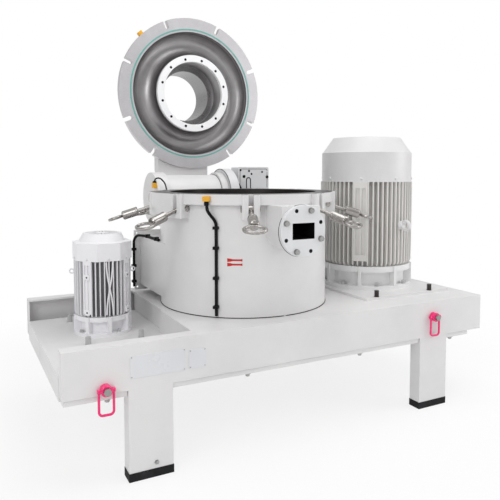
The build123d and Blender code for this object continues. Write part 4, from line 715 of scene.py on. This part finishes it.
def outward(centre, angle, radius, z):
    """Seat on an upright round wall, with the directions out of it and level along it."""
    turn = np.radians(angle)
    out = np.array((np.sin(turn), -np.cos(turn), 0))
    level = np.array((np.cos(turn), np.sin(turn), 0))
    return np.array((*centre, z)) + out * radius, out, level


eye_seat, eye_out, eye_side = outward(main_axis, 9.0, 0.282, 1.010)
eye_foot = turned(((0, 0), (0.026, 0), (0.026, 0.006), (0.018, 0.012), (0.014, 0.020), (0, 0.020)))
eye_radius, eye_bar, eye_reach = 0.025, 0.011, 0.040
eye_loop = loop(eye_radius, eye_bar)
eye_parts = [
    put(eye_foot, eye_seat, eye_side, along_z),
    put(eye_loop, eye_seat + eye_out * eye_reach, eye_out, along_z),
]
shells("motor_lifting_eye", eye_parts, cowl_enamel, "frame")


# Screws of the fan cowls: eight low round heads in the lower edge of each skirt, sprayed over with it.
# Those of the small motor are smaller.
def headed(head, centre, angle, radius, z):
    """Carries a shape turned round Z to an upright round wall, standing straight out of it."""
    seat, out, level = outward(centre, angle, radius, z)
    return put(head, seat, level, along_z)


main_skirt, small_skirt = (0.2808, 1.293), (0.1438, 0.886)
round_head = turned(((0, 0), (0.009, 0), (0.009, 0.002), (0.006, 0.0055), (0, 0.0065)), 16)
small_head = turned(((0, 0), (0.006, 0), (0.006, 0.0015), (0.004, 0.0035), (0, 0.004)), 16)
cowl_screws = [headed(round_head, main_axis, angle, *main_skirt) for angle in range(-180, 180, 45)]
cowl_screws += [headed(small_head, small_axis, angle, *small_skirt) for angle in range(-180, 180, 45)]
shells("cowl_screws", cowl_screws, cowl_enamel, "frame")

# Small motor: two crossing ribs cast over the fins on its front, bosses on its pads with a black disc on
# each as painted shade of a blind hole, and a small lifting eye on each side.
fin_radius, rib_bottom, rib_length, rib_swing, rib_radius = 0.1465, 0.597, 0.278, 6.5, 0.0042
share = np.linspace(0, 1, 60)
cross_ribs = []
for side in (-1, 1):
    turn = np.radians(1 + side * rib_swing * np.cos(np.pi * share))
    x, y = np.sin(turn) * fin_radius, -np.cos(turn) * fin_radius
    rib = np.stack((x, y, rib_bottom + share * rib_length), -1)
    cross_ribs.append(bead(rib + (*small_axis, 0), rib_radius))
shells("motor_cross_ribs", cross_ribs, small_motor_enamel, "frame")
pad_radius, boss_face, eye_z = 0.1440, 0.1501, 0.812
boss = slab(0.030, 0.030, 0.004, 0.006, 0.0015)
blind_hole_shade = turned(((0, 0), (0.0045, 0), (0.0045, 0.0004), (0, 0.0004)), 16)
pad_places = [(angle, z) for angle in (-45, 45, -135) for z in (0.613, 0.795)]
bosses = [headed(boss, small_axis, angle, pad_radius, z) for angle, z in pad_places]
shells("motor_pad_bosses", bosses, small_motor_enamel, "frame")
# Black discs: painted shade of the bosses' blind holes.
holes = [headed(blind_hole_shade, small_axis, angle, boss_face, z) for angle, z in pad_places]
shells("motor_pad_hole_shades", holes, black_rubber_and_shade, "frame")
side_eyes = []
side_eye_radius, side_eye_bar = 0.011, 0.0035
for angle in (-103, 77):
    seat, out, level = outward(small_axis, angle, fin_radius, eye_z)
    side_eye = loop(side_eye_radius, side_eye_bar, rows=28)
    side_eyes.append(put(side_eye, seat + out * side_eye_radius, out, along_z))
shells("motor_side_eyes", side_eyes, small_motor_enamel, "frame")

# Terminal boxes on the motors' far sides: four small screws hold each lid, and two blanking plugs close
# the lower side until the cables come.
box_angle, sunk, plug_spread = 150, 0.0005, 0.03
box_screws = []
box_fits = ((main_axis, 0.410, 0.092, 0.904, 1.116), (small_axis, 0.219, 0.049, 0.663, 0.777))
for centre, reach, half_width, low, high in box_fits:
    seat, out, level = outward(centre, box_angle, reach - sunk, 0)
    for side in (-1, 1):
        for z in (low, high):
            corner = seat + level * side * half_width + along_z * z
            box_screws.append(put(small_head, corner, level, along_z))
shells("terminal_box_screws", box_screws, zinc, "frame")
blanking_plug = turned(((0, 0), (0.016, 0), (0.016, 0.003), (0.012, 0.007), (0, 0.008)), 20)
box_plugs = []
for centre, reach, low in ((main_axis, 0.320, 0.880), (small_axis, 0.165, 0.650)):
    seat, out, level = outward(centre, box_angle, reach, low)
    for side in (-1, 1):
        box_plugs.append(put(blanking_plug, seat + level * side * plug_spread, level, out))
shells("terminal_box_plugs", box_plugs, black_rubber_and_shade, "frame")

# Clamp pins: stainless pins through the lugs, on which the swing bolts turn. A low round head closes each
# end on the outer flank of its lug.
lug_flank = 0.0441
pin_head = turned(((0, 0), (0.017, 0), (0.017, 0.002), (0.014, 0.004), (0, 0.0045)), 20)
pin_heads = []
for angle in clamp_angles:
    seat, out, level = outward((housing_x, 0), angle, pivot_circle, pivot_z)
    for side in (-1, 1):
        pin_heads.append(put(pin_head, seat + level * side * lug_flank, out, along_z * side * -1))
shells("clamp_pin_heads", pin_heads, polished, "frame")

# Feed channel: rectangular, with black sheets on its four sides as painted shade of the deep channel. The
# sheets stop short of the grinding chamber.
shade_sheet_y, shade_sheet_length, shade_sheet_thick = -0.5270, 0.222, 0.0016
shade_sheet_faces = (
    ((0, 0.0388), 0.124, along_x, -along_z),
    ((0, -0.0388), 0.124, -along_x, along_z),
    ((0.0623, 0), 0.077, along_z, -along_x),
    ((-0.0623, 0), 0.077, -along_z, along_x),
)
shade_sheets = []
for (x, z), width, across, inwards in shade_sheet_faces:
    seat = (port_centre[0] + x, shade_sheet_y, port_centre[2] + z)
    sheet = slab(width, shade_sheet_length, 0.001, shade_sheet_thick, 0.0004)
    shade_sheets.append(put(sheet, seat, across, np.cross(inwards, across)))
shells("port_shade_sheets", shade_sheets, black_rubber_and_shade, "frame")

# Hinge drive: black discs on the gearbox's cast front are painted shade of its open screw holes, and a black
# outline is painted shade of a long slot in it; a cover's painted edge stands out a little. A folded black
# rubber bellows round the output shaft is painted shade of the gap between drum and gearbox, and thin black
# washers lie between the ears and the arm.
gear_face_y, gear_edge_y = 0.6741, 0.6738
gear_hole_shade = turned(((0, 0), (0.0075, 0), (0.0075, 0.0005), (0, 0.0005)), 20)
large_hole_shade = turned(((0, 0), (0.0115, 0), (0.0115, 0.0005), (0, 0.0005)), 24)
gear_spots = (
    (0.299, 1.339), (0.319, 1.318), (0.404, 1.332), (0.232, 1.345), (0.232, 1.110), (0.380, 1.200)
)
large_spots = ((0.2595, 1.300), (0.445, 1.296))
# Painted shade of the gearbox's screw holes.
gear_hole_shades = [put(gear_hole_shade, (x, gear_face_y, z), along_x, along_z) for x, z in gear_spots]
gear_hole_shades += [put(large_hole_shade, (x, gear_face_y, z), along_x, along_z) for x, z in large_spots]
shells("gearbox_hole_shades", gear_hole_shades, black_rubber_and_shade, "frame")
cover_x, cover_z, edge_step, edge_radius = 0.3365, 1.228, 0.006, 0.0016
cover_edge = rounded(0.216, 0.250, 0.012, 10)
cover_depth = np.full(len(cover_edge), gear_edge_y)
cover_loop = np.column_stack((cover_edge[:, 0] + cover_x, cover_depth, cover_edge[:, 1] + cover_z))
edge_bead = bead(finely(cover_loop, edge_step), edge_radius)
shells("gearbox_cover_edge", [edge_bead], housing_enamel, "frame")
# Painted shade of the slot, as a black outline.
slot_x, slot_radius, slot_bottom, slot_top, slot_shade_radius = 0.295, 0.016, 1.200, 1.276, 0.0034
arch_turn = np.radians(np.linspace(0, 180, 40))
arch_side = np.full(40, slot_radius)
arch_rise = np.linspace(slot_bottom, slot_top, 40)
arch_x = np.concatenate((arch_side, slot_radius * np.cos(arch_turn), -arch_side))
arch_z = np.concatenate((arch_rise, slot_top + slot_radius * np.sin(arch_turn), arch_rise[::-1]))
arch = np.stack((slot_x + arch_x, np.full(len(arch_x), gear_edge_y), arch_z), -1)
shells("gearbox_slot_shade", [bead(arch, slot_shade_radius)], black_rubber_and_shade, "frame")
# The black bellows below is painted shade of the gap between drum and gearbox.
hinge_spot = np.array((0, 0.700, 1.164))
shade_boot_x, guard_x, guard_joint_x = 0.1517, 0.0845, 0.0840
shade_boot_length, shade_boot_radius, fold_depth, fold_length = 0.0625, 0.090, 0.007, 0.0125
shade_boot_run = np.linspace(0, shade_boot_length, 26)
shade_boot_size = shade_boot_radius + fold_depth * np.cos(2 * np.pi * shade_boot_run / fold_length)
shade_boot_profile = [(0, 0), *zip(shade_boot_size, shade_boot_run), (0, shade_boot_length)]
shade_boot = put(turned(shade_boot_profile, 40), hinge_spot + along_x * shade_boot_x, along_y, along_z)
shells("output_shade_boot", [shade_boot], black_rubber_and_shade, "frame")
hinge_washer = turned(((0.042, 0), (0.1505, 0), (0.1505, 0.0014), (0.042, 0.0014), (0.042, 0)), 64)
washer_places = (0.0353, -0.3287)
hinge_washers = [put(hinge_washer, hinge_spot + along_x * x, along_y, along_z) for x in washer_places]
shells("hinge_washers", hinge_washers, black_rubber_and_shade, "frame")

# Guard ring round the hinge drive's drum: cast in one and sprayed like the feed flange.
# A thin rubber joint seals it against the ear.
guard_profile = (
    (0.1415, 0), (0.1890, 0), (0.1900, 0.001), (0.1900, 0.064), (0.1860, 0.067), (0.1415, 0.067), (0.1415, 0)
)
guard = put(turned(guard_profile, 96), hinge_spot + along_x * guard_x, along_y, along_z)
shells("drum_guard", [guard], flange_enamel, "frame")
guard_joint = put(loop(0.1880, 0.0022, 8, 97), hinge_spot + along_x * guard_joint_x, along_y, along_z)
shells("guard_joint", [guard_joint], black_rubber_and_shade, "frame")

# Cable ends: a round black connector on the front sensor, and a short round lead from the ear's sensor to
# the housing, with a black gland at each of its ends.
connector = turned(((0, 0), (0.010, 0), (0.0115, 0.003), (0.0115, 0.018), (0.0095, 0.022), (0, 0.022)), 20)
front_sensor, rear_gland = (-47, 0.5183, 1.1685), (-147.7, 0.5052, 1.200)
seat, out, level = outward((housing_x, 0), *front_sensor)
connectors = [put(connector, seat, out, level)]
gland = turned(((0, 0), (0.012, 0), (0.012, 0.005), (0.008, 0.012), (0, 0.013)), 20)
lead_end, lead_out, lead_level = outward((housing_x, 0), *rear_gland)
connectors.append(put(gland, lead_end, lead_level, along_z))
ear_gland = (-0.4253, 0.5812, 1.2635)
connectors.append(put(gland, ear_gland, along_x, along_y))
lead_corners = (
    (-0.4253, 0.5812, 1.270), (-0.421, 0.575, 1.292), (-0.398, 0.550, 1.296), (-0.376, 0.515, 1.262)
)
before_gland = lead_end + lead_out * 0.045 + along_z * 0.012
lead_route = np.vstack((lead_corners, before_gland, lead_end + lead_out * 0.012))


def smooth_run(corners, count=90):
    """Smooth curve near the corners: their straight runs, averaged several times over with the ends held."""
    place = np.linspace(0, len(corners) - 1, count)
    run = np.stack([np.interp(place, np.arange(len(corners)), corners[:, i]) for i in range(3)], -1)
    for _ in range(60):
        run[1:-1] = (run[:-2] + 2 * run[1:-1] + run[2:]) / 4
    return run


lead_radius = 0.0045
connectors.append(bead(smooth_run(lead_route), lead_radius, sides=12))
shells("sensor_connectors", connectors, black_rubber_and_shade, "frame")

# End plates of the channels: small steel plates let into the open ends of both channels and sprayed with
# the frame.
channel_end_x, channel_y, channel_z = 1.1935, 0.5330, 0.505
end_plate = slab(0.060, 0.180, 0.006, 0.006, 0.001)
end_plates = [
    put(end_plate, (x * channel_end_x, y * channel_y, channel_z), along_y * x, along_z)
    for x in (-1, 1)
    for y in (-1, 1)
]
shells("channel_end_plates", end_plates, frame_enamel, "frame")

# Studio: a pale floor that keeps a soft shadow, and white surroundings. Large soft lamps stand above, at
# both sides and, much weaker, in front. To the camera the floor glows, and glows more with the distance
# from the machine, so that it runs into the backdrop without an edge.
floor_half = 30
floor_corners = [(x * floor_half, y * floor_half, 0) for x, y in ((-1, -1), (1, -1), (1, 1), (-1, 1))]
floor_mesh = bpy.data.meshes.new("floor")
floor_mesh.from_pydata(floor_corners, [], [(0, 1, 2, 3)])
floor = bpy.data.objects.new("floor", floor_mesh)
bpy.context.scene.collection.objects.link(floor)
floor_paint, floor_shader, floor_place = material("floor_paint")
floor_tone = floor_place.noise(1.5, 2.0).mix(colour(238, 238, 238), colour(244, 244, 244))
floor_place.feed(floor_shader, {"Base Color": floor_tone, "Roughness": 0.9})
floor_tree = floor_place.tree
rays = floor_tree.nodes.new("ShaderNodeLightPath").outputs
seen = Wire(floor_tree, rays["Is Camera Ray"]).maths("MAXIMUM", Wire(floor_tree, rays["Is Glossy Ray"]))
seen = seen.maths("MAXIMUM", Wire(floor_tree, rays["Is Transmission Ray"]))
near_glow, added_glow = 0.78, 0.22
glow_start, glow_length = 1.2, 1.6
away = floor_place.node("ShaderNodeVectorMath", {0: floor_place}, out=1, operation="LENGTH")
far = ((away - glow_start) / glow_length).limit()
glow = floor_place.node("ShaderNodeEmission", {"Color": (1, 1, 1, 1), "Strength": 1.0})
lit = Wire(floor_tree, floor_shader.outputs[0])
shown = floor_place.node("ShaderNodeMixShader", {0: seen * (far * added_glow + near_glow), 1: lit, 2: glow})
floor_tree.links.new(shown.socket, floor_tree.nodes["Material Output"].inputs["Surface"])
floor_mesh.materials.append(floor_paint)

# Surroundings of the studio: the camera sees plain white. Polished faces mirror a room that is bright above
# and behind the machine and dim elsewhere, with a soft edge between; all other light from it is the dim one.
room_bright, room_dim = 0.85, 0.54
edge_start, edge_above, edge_behind = 0.7, 2.4, 1.8
world = bpy.data.worlds.new("studio")
bpy.context.scene.world = world
world.use_nodes = True
sky_tree = world.node_tree
sky = Wire(sky_tree, sky_tree.nodes.new("ShaderNodeTexCoord").outputs["Generated"])
paths = sky_tree.nodes.new("ShaderNodeLightPath").outputs
through = Wire(sky_tree, paths["Is Transmission Ray"])
backdrop = Wire(sky_tree, paths["Is Camera Ray"]).maths("MAXIMUM", through)
high = (sky.along("Z") * edge_above - edge_start).limit()
behind = (sky.along("Y") * edge_behind - edge_start).limit()
room = Wire(sky_tree, paths["Is Glossy Ray"]) * high.maths("MAXIMUM", behind) * room_bright
strength = backdrop.maths("MAXIMUM", room).maths("MAXIMUM", room_dim)
sky.feed(sky_tree.nodes["Background"], {"Color": (1, 1, 1, 1), "Strength": strength})


def lamp(name, place, aim, size, power):
    """Soft rectangular lamp that faces the aimed point."""
    light = bpy.data.lights.new(name, "AREA")
    light.shape = "RECTANGLE"
    light.size, light.size_y = size
    light.energy = power
    holder = bpy.data.objects.new(name, light)
    bpy.context.scene.collection.objects.link(holder)
    holder.location = place
    towards = Vector(np.subtract(aim, place))
    holder.rotation_euler = towards.to_track_quat("-Z", "Y").to_euler()


lamp("top_lamp", (0.4, -0.6, 4.8), (0, 0, 0.8), (3.5, 3.0), 74)
lamp("right_lamp", (4.6, -2.6, 2.6), (0.2, 0, 0.9), (2.4, 2.6), 76)
lamp("left_lamp", (-3.9, -2.9, 3.2), (-0.4, 0, 0.9), (2.2, 2.4), 64)
lamp("front_lamp", (-1.5, -5.6, 2.2), (0, 0, 0.9), (3.0, 2.4), 6)
